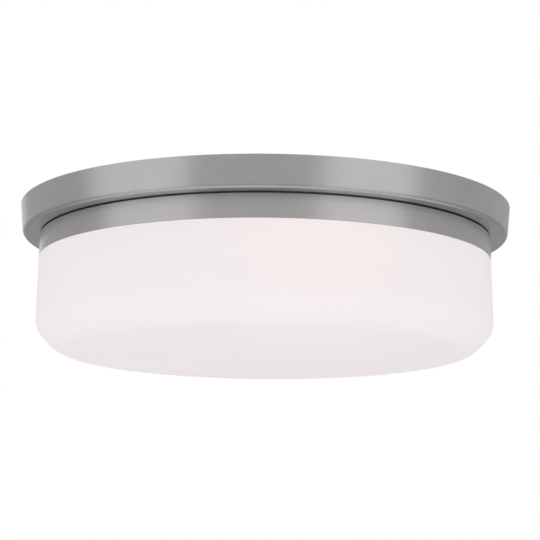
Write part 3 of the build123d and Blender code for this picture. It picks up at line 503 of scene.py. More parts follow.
def opal_glass():
    """Satin opal: near-white and matt, with a painted warm glow (emission) where a bulb is close behind
    it.
    """
    material, tree = new_material("satin_opal_glass")
    place = add(tree, "TexCoord").outputs["Object"]
    nearest = GLASS_RADIUS - BULB_OUT
    painted_glow = None
    for azimuth in map(radians, LAMP_AZIMUTHS.values()):
        bulb = Vector((BULB_OUT * cos(azimuth), BULB_OUT * sin(azimuth), LAMP_Z + PAINTED_GLOW_RISE))
        gap = add(tree, "VectorMath", {0: place, 1: bulb}, operation="DISTANCE").outputs["Value"]
        share = reckon(tree, "DIVIDE", nearest, gap)
        light = reckon(tree, "POWER", share, PAINTED_GLOW_FALLOFF)
        painted_glow = reckon(tree, "ADD", painted_glow, light) if painted_glow else light
    cloud = noise(tree, place, OPAL_CLOUD, 2.0)
    etch = noise(tree, place, ETCH_GRAIN, 3.0)
    surface(
        tree,
        {
            "Base Color": blend(tree, cloud, "#F1E9EA", "#F3ECED"),
            "Roughness": 0.68,
            "IOR": 1.5,
            "Specular IOR Level": 0.2,
            "Normal": relief(tree, etch, 0.05, 0.03),
            # painted glow: a warm emission that stands in for the bulbs' light shining through the glass
            "Emission Color": linear("#FFDC78"),
            "Emission Strength": reckon(tree, "MULTIPLY", painted_glow, PAINTED_GLOW_LEVEL),
        },
    )
    return material


opal = opal_glass()
print("bulb centres", round(BULB_OUT / MM, 1), "mm out at", round(LAMP_Z / MM, 1), "mm")

# %% [markdown]
# ## Ceiling pan
# The pan is a shallow dish of 1 mm sheet, drawn in one hit, so its wall leans in and its lower
# edge is rounded. The margin of its floor is set down over a small bead, which stiffens it and
# leaves only a thin line between pan and ring. It is turned from its section; the two keyholes
# through which it is hung are cut afterwards.

# %% Ceiling pan
PAN_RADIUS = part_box("ceiling_pan")[1].x / MM
FLOOR_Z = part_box("ceiling_pan")[0].z / MM
PAN_DRAFT = 5.3
PAN_SHEET = 1.0
PAN_EDGE = 3.0
PAN_BEAD = 1.2
BEAD_RADIUS = 178.0  # just outside the step in the ring's flange
SHEET_EDGE = 0.25
LEAD_HOLE = 11.9
HANGER_HEAD_RADIUS = 4.0
HANGER_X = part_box("hanger_screws")[1].x / MM - HANGER_HEAD_RADIUS
KEYHOLE_SLOT = 5.0
KEYHOLE_EYE = 14.0
KEYHOLE_LENGTH = 11.0
KEYHOLE_DEPTH = 8 * PAN_SHEET * MM

margin_z = FLOOR_Z - PAN_BEAD
pan_foot = PAN_RADIUS + margin_z * tan(radians(PAN_DRAFT))
floor_top = FLOOR_Z + PAN_SHEET
pan = turned(
    "pan_drawn_sheet",
    [
        (LEAD_HOLE, FLOOR_Z),
        (BEAD_RADIUS, FLOOR_Z),
        (BEAD_RADIUS + PAN_BEAD / 2, margin_z, SHEET_EDGE),
        (pan_foot, margin_z, PAN_EDGE),
        (PAN_RADIUS, 0, SHEET_EDGE),
        (PAN_RADIUS - PAN_SHEET, 0, SHEET_EDGE),
        (pan_foot - PAN_SHEET, margin_z + PAN_SHEET, PAN_EDGE - PAN_SHEET),
        (BEAD_RADIUS + PAN_SHEET, margin_z + PAN_SHEET),
        (BEAD_RADIUS, floor_top, SHEET_EDGE),
        (LEAD_HOLE, floor_top),
    ],
    steps=256,
)
for side in (1, -1):
    hang = Vector((side * HANGER_X, 0, FLOOR_Z)) * MM
    eye = Vector((0, -side * KEYHOLE_LENGTH, 0)) * MM
    alone(None)
    bpy.ops.mesh.primitive_cylinder_add(radius=KEYHOLE_SLOT / 2 * MM, depth=KEYHOLE_DEPTH, location=hang)
    slot = bpy.context.object
    edit(slot)
    pick(slot, "VERT", lambda v: v.co.y * eye.y > 0 and abs(v.co.y) > 0.1 * MM)
    bpy.ops.transform.translate(value=eye)
    combine(pan, slot)
    alone(None)
    bpy.ops.mesh.primitive_cylinder_add(
        vertices=48, radius=KEYHOLE_EYE / 2 * MM, depth=KEYHOLE_DEPTH, location=hang + eye
    )
    combine(pan, bpy.context.object)
smooth(pan)
dress(pan, "fixture", "brushed_nickel", nickel, "ceiling_pan")

# %% [markdown]
# ## Ring
# The ring that carries the glass is pressed from the same sheet. A step in its flange sets the
# outer part clear of the pan's margin and leaves the thin dark line that parts the two.

# %% Ring
RING_LOW_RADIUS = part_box("glass_ring")[1].x / MM
RING_LOW_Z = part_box("glass_ring")[0].z / MM
RING_GAP = 0.8
RING_STEP = 7.0
RING_SEAT = 18.0
RING_SHEET = 1.0
RING_BRINK = 0.4
DRUM_SLOPE = tan(radians(1.2))


def drum_radius(z):
    """Radius in mm of the leaning line that the ring's wall and the glass share."""
    return RING_LOW_RADIUS + (RING_LOW_Z - z) * DRUM_SLOPE


ring_top = margin_z - RING_GAP
step_radius = drum_radius(ring_top) - RING_STEP
seat_radius = step_radius - RING_SEAT
ring = turned(
    "ring_pressed_sheet",
    [
        (seat_radius, FLOOR_Z),
        (step_radius, FLOOR_Z),
        (step_radius, ring_top),
        (drum_radius(ring_top), ring_top, RING_BRINK),
        (RING_LOW_RADIUS, RING_LOW_Z, SHEET_EDGE),
        (RING_LOW_RADIUS - RING_SHEET, RING_LOW_Z, SHEET_EDGE),
        (drum_radius(ring_top) - RING_SHEET, ring_top - RING_SHEET),
        (step_radius - RING_SHEET, ring_top - RING_SHEET),
        (step_radius - RING_SHEET, FLOOR_Z - RING_SHEET),
        (seat_radius, FLOOR_Z - RING_SHEET),
    ],
    steps=256,
)
smooth(ring)
dress(ring, "fixture", "brushed_nickel", nickel, "glass_ring")

# %% [markdown]
# ## Glass drum
# The drum was blown into a mould: a wall that leans out by a degree, a sloping haunch with soft
# bends for a corner, a bottom that bellies a little, and above its shoulder a narrower neck with
# three lugs for the twist lock. A turned section gives all but the lugs. Those are faces of the
# neck, extruded and drawn outwards, so that they grow out of the glass without a seam.

# %% Glass drum
SHADE_LOW_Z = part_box("glass_shade")[0].z / MM
RIM_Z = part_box("glass_shade")[1].z / MM
SHOULDER_GAP = 0.05
SHOULDER_Z = RING_LOW_Z - SHOULDER_GAP
SHADE_WALL = 4.0
HAUNCH_Z = -100.0  # where the haunch's slope would meet the wall
HAUNCH_ANGLE = 48.0
WALL_BEND = 14.0
BELLY_BEND = 22.0
SHADE_SHOULDER = 1.6
SHADE_BRINK = 0.3
DOME_RADIUS = 1190.0
CLIP_SHELF = 4.2
NECK_GAP = 0.6
CLIP_SHEET = 0.8
LUG_SIDE_GAP = 0.6
LUG_DROP = 2.5
LUG_HEIGHT = 5.0
LUG_EDGE = 0.6
LUG_TOP = RIM_Z - LUG_DROP
LUG_LOW = LUG_TOP - LUG_HEIGHT
LUG_AZIMUTHS = (90, 210, 330)
LUG_HALF_ANGLE = 6.3
RIM_GAP = 0.6
RIM_ROUND = 1.0
rim_z = ring_top - RING_SHEET - RIM_GAP
ring_bore = drum_radius(ring_top) - RING_SHEET
NECK_RADIUS = ring_bore - CLIP_SHELF - NECK_GAP
LUG_RADIUS = ring_bore - CLIP_SHEET - LUG_SIDE_GAP


def dome_z(radius, inset):
    """Height in mm of the bellied bottom at a radius, inset from its outer face."""
    return SHADE_LOW_Z + DOME_RADIUS - sqrt((DOME_RADIUS - inset) ** 2 - radius**2)


def belly(inset, count=10):
    """Corners from the axis along the bottom and over the haunch, inset from the outer face."""
    high = HAUNCH_Z + inset * tan(radians(90 - HAUNCH_ANGLE) / 2)
    wide = drum_radius(high) - inset
    foot = wide
    for _ in range(8):
        foot = wide - (high - dome_z(foot, inset)) / tan(radians(HAUNCH_ANGLE))
    along = [foot * i / count for i in range(count)]
    return [
        *[(radius, dome_z(radius, inset)) for radius in along],
        (foot, dome_z(foot, inset), BELLY_BEND - inset),
        (wide, high, WALL_BEND - inset),
    ]


drum = turned(
    "opal_glass_drum",
    [
        *belly(0.0),
        (drum_radius(SHOULDER_Z), SHOULDER_Z, SHADE_BRINK),
        (NECK_RADIUS, SHOULDER_Z, SHADE_SHOULDER),
        (NECK_RADIUS, LUG_LOW),
        (NECK_RADIUS, LUG_TOP),
        (NECK_RADIUS, rim_z, RIM_ROUND),
        (NECK_RADIUS - SHADE_WALL, rim_z, RIM_ROUND),
        (NECK_RADIUS - SHADE_WALL, SHOULDER_Z - SHADE_WALL, SHADE_SHOULDER),
        (drum_radius(SHOULDER_Z) - SHADE_WALL, SHOULDER_Z - SHADE_WALL, SHADE_SHOULDER),
        *reversed(belly(SHADE_WALL)),
    ],
    steps=258,
)


def on_lug(face):
    """Faces of the neck's outer wall where a lug stands."""
    middle = face.calc_center_median()
    azimuth = degrees(atan2(middle.y, middle.x))
    near = min(abs((azimuth - lug + 180) % 360 - 180) for lug in LUG_AZIMUTHS)
    at_height = LUG_LOW < middle.z / MM < LUG_TOP
    on_neck = abs(middle.xy.length / MM - NECK_RADIUS) < 0.2
    return at_height and on_neck and near < LUG_HALF_ANGLE


edit(drum)
pick(drum, "FACE", on_lug)
bpy.ops.mesh.extrude_region_move()
lug_growth = LUG_RADIUS / NECK_RADIUS
bpy.ops.transform.resize(value=(lug_growth, lug_growth, 1), center_override=(0, 0, 0))
bpy.ops.mesh.region_to_loop()
bpy.ops.mesh.bevel(offset=LUG_EDGE * MM, segments=3)
clean(drum)
smooth(drum)
dress(drum, "glass", "opal_glass", opal, "glass_shade")

# %% [markdown]
# ## Plain finishes
# The hidden pieces are of everyday materials. A photograph of each could be wrapped on, but a
# noise in the material's own space needs no unwrapping and is never stretched. So each gets two
# close tones, a roughness and a fine relief that all follow one noise, and the numbers say which
# material it is: the grain is the real size in millimetres of its mottle or spangle.

# %% Plain finishes
METAL = {"Metallic": 1.0}
MOTTLE_RANGE = (0.3, 0.7)
# two tones, grain in mm, roughness from and to, depth of the relief in mm, other inputs
FINISHES = {
    # electroplated steel: cool grey metal, clouded where the plate grew unevenly
    "zinc_plated_steel": ("#A9AEB4", "#C6CACD", 7.0, (0.30, 0.42), 0.02, METAL),
    # zinc plate dyed green, which marks a ground screw: dark green with a metal's gloss
    "green_dyed_zinc": ("#1C6634", "#37905A", 3.0, (0.30, 0.45), 0.02, {"Metallic": 0.7}),
    # rolled brass sheet: warm yellow metal, a little dulled by handling
    "rolled_brass": ("#C39A50", "#E0BC74", 5.0, (0.26, 0.40), 0.01, METAL),
    # tinned brass of a bulb's base: pale warm metal
    "tinned_brass": ("#BAB7AF", "#D4D2CB", 4.0, (0.24, 0.36), 0.01, METAL),
    # soft solder: dull grey metal, frozen in ripples
    "soft_solder": ("#96958F", "#BCBBB5", 1.5, (0.42, 0.58), 0.06, METAL),
    # extruded vinyl round the leads: smooth and waxy, in the wiring colours
    "black_vinyl": ("#131315", "#242528", 2.0, (0.40, 0.54), 0.02, {"IOR": 1.54}),
    "white_vinyl": ("#E2E1DA", "#F0EFEA", 2.0, (0.40, 0.54), 0.02, {"IOR": 1.54}),
    "green_vinyl": ("#196B31", "#2A8A46", 2.0, (0.40, 0.54), 0.02, {"IOR": 1.54}),
    # moulded nylon bushing: near black with a fine mould grain
    "black_nylon": ("#161617", "#262628", 0.8, (0.45, 0.60), 0.03, {"IOR": 1.53}),
    # moulded polypropylene caps: strong orange, slightly waxy
    "orange_polypropylene": ("#D4591B", "#E9752C", 1.2, (0.38, 0.52), 0.03, {"IOR": 1.49}),
    # glazed porcelain: warm white under a clear hard glaze
    "glazed_porcelain": (
        "#EDEAE3", "#F6F4EE", 9.0, (0.20, 0.28), 0.008,
        {"Coat Weight": 0.6, "Coat Roughness": 0.06, "IOR": 1.55},
    ),
    # black glass fused into a bulb's base: almost a mirror, but black
    "black_bead_glass": ("#0D0D11", "#1B1B20", 3.0, (0.08, 0.16), 0.01, {"IOR": 1.52}),
    # bulb glass frosted inside and lit: soft white with a warm light of its own
    "frosted_bulb_glass": (
        "#F6EEE1", "#FDF7EC", 14.0, (0.28, 0.38), 0.01,
        {"IOR": 1.5, "Emission Color": linear("#FFE2AE"), "Emission Strength": 0.1},
    ),
}


def finish(name, dark, light, grain, rough, depth, shader):
    """A material of two close tones whose colour, roughness and relief follow one noise."""
    material, tree = new_material(name)
    mottle = noise(tree, add(tree, "TexCoord").outputs["Object"], grain, 5.0)
    surface(
        tree,
        {
            "Base Color": blend(tree, mottle, dark, light),
            "Roughness": ramp(tree, mottle, MOTTLE_RANGE, rough),
            "Normal": relief(tree, mottle, 0.4, depth),
            **shader,
        },
    )
    return material


finishes = {name: finish(name, *look) for name, look in FINISHES.items()}
zinc = finishes["zinc_plated_steel"]
brass = finishes["rolled_brass"]
print("plain finishes:", len(finishes))

# %% [markdown]
# ## Drilling, slotting and flattening
# Screws and nuts start as turned blanks, as in a workshop. A hole or a driver's slot is cut with a
# cylinder or a block, and six cuts across a chamfered blank leave a nut whose corners show the
# curved chamfer of a real one, which a bevelled six-sided prism lacks.


# %% Workshop helpers
HOLE_GAP = 0.15


def drill(piece, radius, low, high, x=0.0, y=0.0):
    """Cut a round hole along Z between two heights, in mm."""
    alone(None)
    middle = Vector((x, y, (low + high) / 2)) * MM
    bpy.ops.mesh.primitive_cylinder_add(
        vertices=32, radius=radius * MM, depth=(high - low) * MM, location=middle
    )
    combine(piece, bpy.context.object)


def slot_head(piece, top, length, width, depth, turns=(0,)):
    """Cut one or more driver slots down from the top of a screw's head, in mm and degrees."""
    for turn in turns:
        alone(None)
        bpy.ops.mesh.primitive_cube_add(
            size=MM,
            location=(0, 0, top * MM),
            rotation=(0, 0, radians(turn)),
            scale=(length, width, 2 * depth),
        )
        combine(piece, bpy.context.object)


def flatten_to_hex(piece, width):
    """Cut six flats on a turned blank, so that it measures a width in mm across them."""
    edit(piece)
    for n in range(6):
        facing = Vector((cos(radians(60 * n + 30)), sin(radians(60 * n + 30)), 0))
        bpy.ops.mesh.select_all(action="SELECT")
        bpy.ops.mesh.bisect(
            plane_co=facing * (width / 2 * MM), plane_no=facing, use_fill=True, clear_outer=True
        )
    clean(piece)


def hex_blank(name, width, low, high, bore, chamfer=0.5):
    """A six-sided collar with chamfered ends between two heights, in mm."""
    corner = width / sqrt(3)
    wide = corner + 0.1  # a hair past the hexagon's corners
    narrow = corner - 1.4 * chamfer
    piece = turned(
        name,
        [
            (bore, low),
            (narrow, low),
            (wide, low + chamfer),
            (wide, high - chamfer),
            (narrow, high),
            (bore, high),
        ],
    )
    flatten_to_hex(piece, width)
    return piece


# %% [markdown]
# ## Crossbar, clips and brackets
# These are cut and bent from strip, and the CAD solids already have their true shapes. What they
# lack is the broken edge of real sheet, which catches a thin line of light. So each is a copy of
# its solid with the triangles merged into whole faces and every sharp edge bevelled.

# %% Sheet metal
SHEET_PIECES = {
    "crossbar": ("crossbar_strap", 0.3, "zinc_steel", zinc),
    "lock_clips": ("glass_lock_clips", 0.15, "zinc_steel", zinc),
    "ground_terminals": ("ground_ring_terminals", 0.12, "brass", brass),
}
for n in LAMP_AZIMUTHS:
    SHEET_PIECES[f"socket_{n}_bracket"] = (f"lamp_{n}_bracket_strap", 0.2, "zinc_steel", zinc)
    SHEET_PIECES[f"socket_{n}_contact"] = (f"lamp_{n}_contact_leaf", 0.1, "brass", brass)
for node, (name, edge, slot, material) in SHEET_PIECES.items():
    dress(softened(name, node, edge), "fixture", slot, material, node)

# %% [markdown]
# ## Rivets
# The ring and the brackets are riveted to the pan's floor. A rivet is turned once with its two low
# round heads, and copied to each hole.

# %% Rivets
RIVET_RADIUS = 1.6
RIVET_HEAD_RADIUS = 3.0
RIVET_HEAD = 1.0
RIVET_ROUND = 0.6
BRACKET_SHEET = 1.2


def rivet_row(name, grip, places, node):
    """Rivets at several places in mm that hold a grip of sheet, counted down from the floor's top."""
    upper, lower = floor_top + RIVET_HEAD, floor_top - grip - RIVET_HEAD
    rivet = turned(
        name,
        [
            (0, lower),
            (RIVET_HEAD_RADIUS, lower, RIVET_ROUND),
            (RIVET_HEAD_RADIUS, lower + RIVET_HEAD),
            (RIVET_RADIUS, lower + RIVET_HEAD),
            (RIVET_RADIUS, floor_top),
            (RIVET_HEAD_RADIUS, floor_top),
            (RIVET_HEAD_RADIUS, upper, RIVET_ROUND),
            (0, upper),
        ],
        steps=32,
    )
    row = repeated(rivet, [Matrix.Translation(Vector((x, y, 0)) * MM) for x, y in places])
    smooth(row)
    dress(row, "fixture", "zinc_steel", zinc, node)


def round_axis(azimuth, out, side=0.0):
    """Place in mm at a distance out along an azimuth, and to its left seen from above."""
    a = radians(azimuth)
    return (out * cos(a) - side * sin(a), out * sin(a) + side * cos(a))


RING_RIVET_CIRCLE = (step_radius + seat_radius) / 2 - RING_SHEET
ring_rivet_places = [round_axis(30 + 60 * n, RING_RIVET_CIRCLE) for n in range(6)]
rivet_row("ring_rivet_row", PAN_SHEET + RING_SHEET, ring_rivet_places, "ring_rivets")

BRACKET_RIVET_OUT = 42.0
BRACKET_RIVET_SIDE = 8.0
bracket_rivet_places = [
    round_axis(azimuth, BRACKET_RIVET_OUT, side)
    for azimuth in LAMP_AZIMUTHS.values()
    for side in (-BRACKET_RIVET_SIDE, BRACKET_RIVET_SIDE)
]
rivet_row("bracket_rivet_row", PAN_SHEET + BRACKET_SHEET, bracket_rivet_places, "bracket_rivets")

# %% [markdown]
# ## Hanger screws and their nuts
# Two long machine screws hang from the crossbar, each locked by a nut under the bar, and a cap nut
# closes each one below the pan. The thread is a wave pressed into the wall that climbs one pitch
# in each turn; the cap nut is a turned flange and dome with a hexagon joined on.

# %% Hanger screws
SCREW_PITCH = 0.8
SCREW_THREAD = 0.3
PITCH_CUTS = 6
HEAD_ROUND = 0.9
HANGER_RADIUS = 2.1
HANGER_HEAD = 2.6
BAR_END_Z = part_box("hanger_screws")[1].z / MM - HANGER_HEAD
HANGER_LOW_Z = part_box("hanger_screws")[0].z / MM
THREAD_START = 8.0
hanger_moves = [Matrix.Translation((side * HANGER_X * MM, 0, 0)) for side in (-1, 1)]
thread_top = BAR_END_Z - THREAD_START
thread_cuts = ceil((thread_top - HANGER_LOW_Z) / SCREW_PITCH * PITCH_CUTS)
hanger_head = BAR_END_Z + HANGER_HEAD

screws = turned(
    "hanger_screw_pair",
    [
        (0, hanger_head),
        (HANGER_HEAD_RADIUS, hanger_head, HEAD_ROUND),
        (HANGER_HEAD_RADIUS, BAR_END_Z),
        (HANGER_RADIUS, BAR_END_Z),
        (HANGER_RADIUS, thread_top, 0, thread_cuts),
        (HANGER_RADIUS, HANGER_LOW_Z),
        (0, HANGER_LOW_Z),
    ],
    steps=24,
)
roll_thread(
    screws, HANGER_RADIUS, SCREW_THREAD, SCREW_PITCH, HANGER_LOW_Z, thread_top, run_in=0.8, run_out=0.8
)
slot_head(screws, hanger_head, length=4.6, width=0.9, depth=1.3, turns=(45, 135))
screws = repeated(screws, hanger_moves)
smooth(screws, angle=40)
dress(screws, "fixture", "zinc_steel", zinc, "hanger_screws")

# %% Hanger nuts
NUT_BORE = HANGER_RADIUS + HOLE_GAP
LOCK_NUT_WIDTH = 8.0
LOCK_NUT_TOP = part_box("hanger_lock_nuts")[1].z / MM
LOCK_NUT_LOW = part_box("hanger_lock_nuts")[0].z / MM
CAP_NUT_WIDTH = 9.0
CAP_NUT_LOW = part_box("hanger_cap_nuts")[0].z / MM
CAP_DOME = 3.6
CAP_CROWN = 1.8
CAP_FLANGE = 1.8
CAP_FLANGE_RADIUS = 6.5
CAP_FLANGE_ROUND = 0.7
CAP_FLANGE_LOW = FLOOR_Z - CAP_FLANGE
CAP_HEX_LOW = (FLOOR_Z + CAP_NUT_LOW) / 2
CAP_HEX_SUNK = 0.6
CAP_BORE_END = CAP_NUT_LOW + CAP_CROWN

lock_nuts = hex_blank("hanger_lock_nut_pair", LOCK_NUT_WIDTH, LOCK_NUT_LOW, LOCK_NUT_TOP, NUT_BORE)
lock_nuts = repeated(lock_nuts, hanger_moves)
smooth(lock_nuts)
dress(lock_nuts, "fixture", "zinc_steel", zinc, "hanger_lock_nuts")

cap_nuts = turned(
    "hanger_cap_nut_pair",
    [
        (0, CAP_NUT_LOW),
        (CAP_NUT_WIDTH / 2, CAP_NUT_LOW, CAP_DOME),
        (CAP_NUT_WIDTH / 2, CAP_FLANGE_LOW),
        (CAP_FLANGE_RADIUS, CAP_FLANGE_LOW, CAP_FLANGE_ROUND),
        (CAP_FLANGE_RADIUS, FLOOR_Z, SHEET_EDGE),
        (NUT_BORE, FLOOR_Z),
        (NUT_BORE, CAP_BORE_END),
        (0, CAP_BORE_END),
    ],
)
cap_hex_top = CAP_FLANGE_LOW + CAP_HEX_SUNK
cap_hex = hex_blank("cap_hex", CAP_NUT_WIDTH, CAP_HEX_LOW, cap_hex_top, NUT_BORE + CAP_HEX_SUNK)
combine(cap_nuts, cap_hex, "UNION")
cap_nuts = repeated(cap_nuts, hanger_moves)
smooth(cap_nuts)
dress(cap_nuts, "fixture", "brushed_nickel", nickel, "hanger_cap_nuts")

# %% [markdown]
# ## Ground screws
# A green hexagon screw with a slotted head clamps a ring terminal under the crossbar, and another
# clamps one on the pan. They differ only in length, so one function makes both.

# %% Ground screws
GROUND_X = -20.0
GROUND_PAN_Y = 40.0
GROUND_HEX_WIDTH = 4.0 * sqrt(3)
GROUND_HEX_BORE = 0.8
GROUND_HEAD = 2.6
GROUND_CROWN_RADIUS = 2.6
GROUND_CROWN_LOW = 0.4
GROUND_NECK = 0.2
GROUND_RADIUS = 2.0
BAR_SHEET = 1.6
TERMINAL_SHEET = 0.8


def ground_screw(name, length):
    """A slotted hexagon screw: head from 0 up, shank down, in mm."""
    shank = turned(
        name,
        [
            (0, GROUND_HEAD / 2),
            (GROUND_RADIUS, GROUND_HEAD / 2),
            (GROUND_RADIUS, -GROUND_NECK, 0, ceil(length / SCREW_PITCH * PITCH_CUTS)),
            (GROUND_RADIUS, -length),
            (0, -length),
        ],
        steps=24,
    )
    roll_thread(
        shank, GROUND_RADIUS, SCREW_THREAD, SCREW_PITCH, -length, -GROUND_NECK, run_in=0.5, run_out=0.5
    )
    head = hex_blank("ground_hex", GROUND_HEX_WIDTH, 0, GROUND_HEAD, GROUND_HEX_BORE)
    combine(shank, head, "UNION")
    crown = turned(
        "ground_crown",
        [
            (0, GROUND_CROWN_LOW),
            (GROUND_CROWN_RADIUS, GROUND_CROWN_LOW),
            (GROUND_CROWN_RADIUS, GROUND_HEAD),
            (0, GROUND_HEAD),
        ],
    )
    combine(shank, crown, "UNION")
    slot_head(shank, GROUND_HEAD, length=9.0, width=1.0, depth=1.0)
    return shank


bar_clamp_z = -BAR_SHEET - TERMINAL_SHEET
pan_clamp_z = floor_top + TERMINAL_SHEET
bar_screw = ground_screw("bar_ground_screw", -bar_clamp_z)
pan_screw = ground_screw("pan_ground_screw", TERMINAL_SHEET + PAN_SHEET + GROUND_HEAD)
bar_screw.data.transform(
    Matrix.Translation(Vector((GROUND_X, 0, bar_clamp_z)) * MM) @ Matrix.Rotation(pi, 4, "X")
)
pan_screw.data.transform(Matrix.Translation(Vector((GROUND_X, GROUND_PAN_Y, pan_clamp_z)) * MM))
for screw in (bar_screw, pan_screw):
    smooth(screw, angle=40)
    dress(screw, "fixture", "green_steel", finishes["green_dyed_zinc"], "ground_screws")

# %% [markdown]
# ## Leads
# Each lamp has a black and a white lead, which leave the back of its socket, rise through the
# bushing and end in a splice cap; a green one joins the two ground screws. They are held all the
# way, so each follows a route of listed points. A smooth spline through the bends looks like
# vinyl wire, where straight runs with small arcs would look like bent rod.

# %% Leads
LEAD_RADIUS = 1.1
LEAD_DEPTH = 6.0
SOCKET_BACK = 28.2
LEAD_END = SOCKET_BACK + LEAD_DEPTH
LEAD_INSET = 7.0
LEAD_SPREAD = 4.5
LAMP_BEND = 18.0
RISE_BEND = 10.0
SPLICE_Z = -15.0
SPLICE_MOUTH = 22.0
SPLICE_DEPTH = 13.0
NEST_SIDE = LEAD_RADIUS + HOLE_GAP
NEST_HIGH = NEST_SIDE * 2 / sqrt(3)
NEST_LOW = -NEST_HIGH / 2
lamp_height = LAMP_Z / MM

# lamp, side of its socket, height of the level run, where that run turns in, place in the cap
HOT_LEADS = (
    (1, LEAD_SPREAD, 3.4, (4.5, 9.0), (0.0, NEST_HIGH)),
    (2, LEAD_SPREAD, NEST_LOW, (3.6, 14.0), (NEST_SIDE, NEST_LOW)),
    (3, -LEAD_SPREAD, NEST_LOW, (-3.6, 14.0), (-NEST_SIDE, NEST_LOW)),
)
NEUTRAL_LEADS = (
    (1, -LEAD_SPREAD, -NEST_HIGH, (-4.0, -13.0), (0.0, -NEST_HIGH)),
    (2, -LEAD_SPREAD, -NEST_LOW, (8.3, -11.0), (NEST_SIDE, -NEST_LOW)),
    (3, LEAD_SPREAD, -NEST_LOW, (-8.3, -11.0), (-NEST_SIDE, -NEST_LOW)),
)


def lead_route(side, lamp, spread, level, turn, place):
    """Points in mm from a socket's back through the bushing into a splice cap."""
    azimuth = LAMP_AZIMUTHS[lamp]
    rise = round_axis(azimuth, LEAD_INSET, spread)
    level_z = SPLICE_Z + level
    cap_z = SPLICE_Z + place[1]
    return [
        (*round_axis(azimuth, LEAD_END, spread), lamp_height),
        (*round_axis(azimuth, LEAD_INSET + LAMP_BEND, spread), lamp_height),
        (*rise, lamp_height),
        (*rise, lamp_height + LAMP_BEND),
        (*rise, level_z - RISE_BEND),
        (*rise, level_z),
        (*turn, level_z),
        (place[0], side * (SPLICE_MOUTH - 2 * LEAD_RADIUS), cap_z),
        (place[0], side * (SPLICE_MOUTH + SPLICE_DEPTH - HOLE_GAP), cap_z),
    ]


def draw_leads(name, routes, slot, material, node):
    """Round leads along routes in mm, as one mesh."""
    curve = bpy.data.curves.new(name, "CURVE")
    curve.dimensions = "3D"
    curve.bevel_depth = LEAD_RADIUS * MM
    curve.bevel_resolution = 5
    curve.use_fill_caps = True
    for route in routes:
        spline = curve.splines.new("NURBS")
        spline.points.add(len(route) - 1)
        for point, place in zip(spline.points, route):
            point.co = (*(Vector(place) * MM), 1)
        spline.order_u = 3
        spline.use_endpoint_u = True
        spline.resolution_u = 8
    leads = bpy.data.objects.new(name, curve)
    bpy.context.collection.objects.link(leads)
    alone(leads)
    bpy.ops.object.convert(target="MESH")
    leads = bpy.context.object
    edit(leads)
    clean(leads)
    smooth(leads, angle=50)
    dress(leads, "fixture", slot, material, node)


hot_routes = [lead_route(1, *plan) for plan in HOT_LEADS]
neutral_routes = [lead_route(-1, *plan) for plan in NEUTRAL_LEADS]
draw_leads("hot_lead_wires", hot_routes, "black_vinyl", finishes["black_vinyl"], "hot_leads")
draw_leads("neutral_lead_wires", neutral_routes, "white_vinyl", finishes["white_vinyl"], "neutral_leads")

TERMINAL_BARREL_RADIUS = LEAD_RADIUS + HOLE_GAP + TERMINAL_SHEET
bar_wire_z = -BAR_SHEET - TERMINAL_BARREL_RADIUS
pan_wire_z = floor_top + TERMINAL_BARREL_RADIUS
ground_route = [
    (GROUND_X, 4.15, bar_wire_z),
    (GROUND_X, 11.0, bar_wire_z),
    (GROUND_X, 20.0, bar_wire_z),
    (GROUND_X, 20.0, pan_wire_z),
    (GROUND_X, 29.0, pan_wire_z),
    (GROUND_X, 35.85, pan_wire_z),
]
draw_leads("ground_lead_wire", [ground_route], "green_vinyl", finishes["green_vinyl"], "ground_lead")

# %% [markdown]
# ## Splice caps and bushing
# A splice cap is a tapered plastic thimble that is screwed over the twisted ends of the leads. Its
# grip grooves are moulded in: every other face of the taper is extruded and drawn inwards. The
# bushing lines the hole in the pan, so that the sheet can't cut the leads.

# %% Splice caps
CAP_RADIUS = 6.5
CAP_LENGTH = 23.0
CAP_TAPER = 1.8
CAP_MOUTH_ROUND = 0.6
CAP_BORE_ROUND = 0.4
CAP_BORE = NEST_HIGH + LEAD_RADIUS + HOLE_GAP
GROOVES = 18
GROOVE_SHRINK = (0.94, 0.94, 0.96)
GROOVE_MIDDLE = 36.0
TAPER_FACE_AREA = 4.5
SPLICE_CAPS = {
    "hot_splice_cap": (-90, "splice_cap_hot"),
    "neutral_splice_cap": (90, "splice_cap_neutral"),
}
cap_tail = SPLICE_MOUTH + CAP_LENGTH
cap_waist = SPLICE_MOUTH + CAP_LENGTH / 4

splice_cap = turned(
    "splice_cap",
    [
        (0, cap_tail),
        (CAP_RADIUS - CAP_TAPER, cap_tail, CAP_TAPER),
        (CAP_RADIUS, cap_waist),
        (CAP_RADIUS, SPLICE_MOUTH, CAP_MOUTH_ROUND),
        (CAP_BORE, SPLICE_MOUTH, CAP_BORE_ROUND),
        (CAP_BORE, SPLICE_MOUTH + SPLICE_DEPTH),
        (0, SPLICE_MOUTH + SPLICE_DEPTH),
    ],
    steps=4 * GROOVES,
)


def in_groove(face):
    """Every other pair of the taper's faces."""
    middle = face.calc_center_median()
    share = (degrees(atan2(middle.y, middle.x)) % 360) / 360 * GROOVES
    on_taper = face.calc_area() > TAPER_FACE_AREA * MM**2 and middle.z > cap_waist * MM
    outside = middle.xy.length > 1.2 * CAP_BORE * MM
    return on_taper and outside and share % 1 < 0.5


edit(splice_cap)
pick(splice_cap, "FACE", in_groove)
bpy.ops.mesh.extrude_region_move()
bpy.ops.transform.resize(value=GROOVE_SHRINK, center_override=(0, 0, GROOVE_MIDDLE * MM))
clean(splice_cap)
smooth(splice_cap, angle=35)
for name, (turn, node) in SPLICE_CAPS.items():
    move = Matrix.Translation((0, 0, SPLICE_Z * MM)) @ Matrix.Rotation(radians(turn), 4, "X")
    twin = copied(splice_cap, name, move)
    dress(twin, "fixture", "orange_plastic", finishes["orange_polypropylene"], node)
bpy.data.objects.remove(splice_cap)

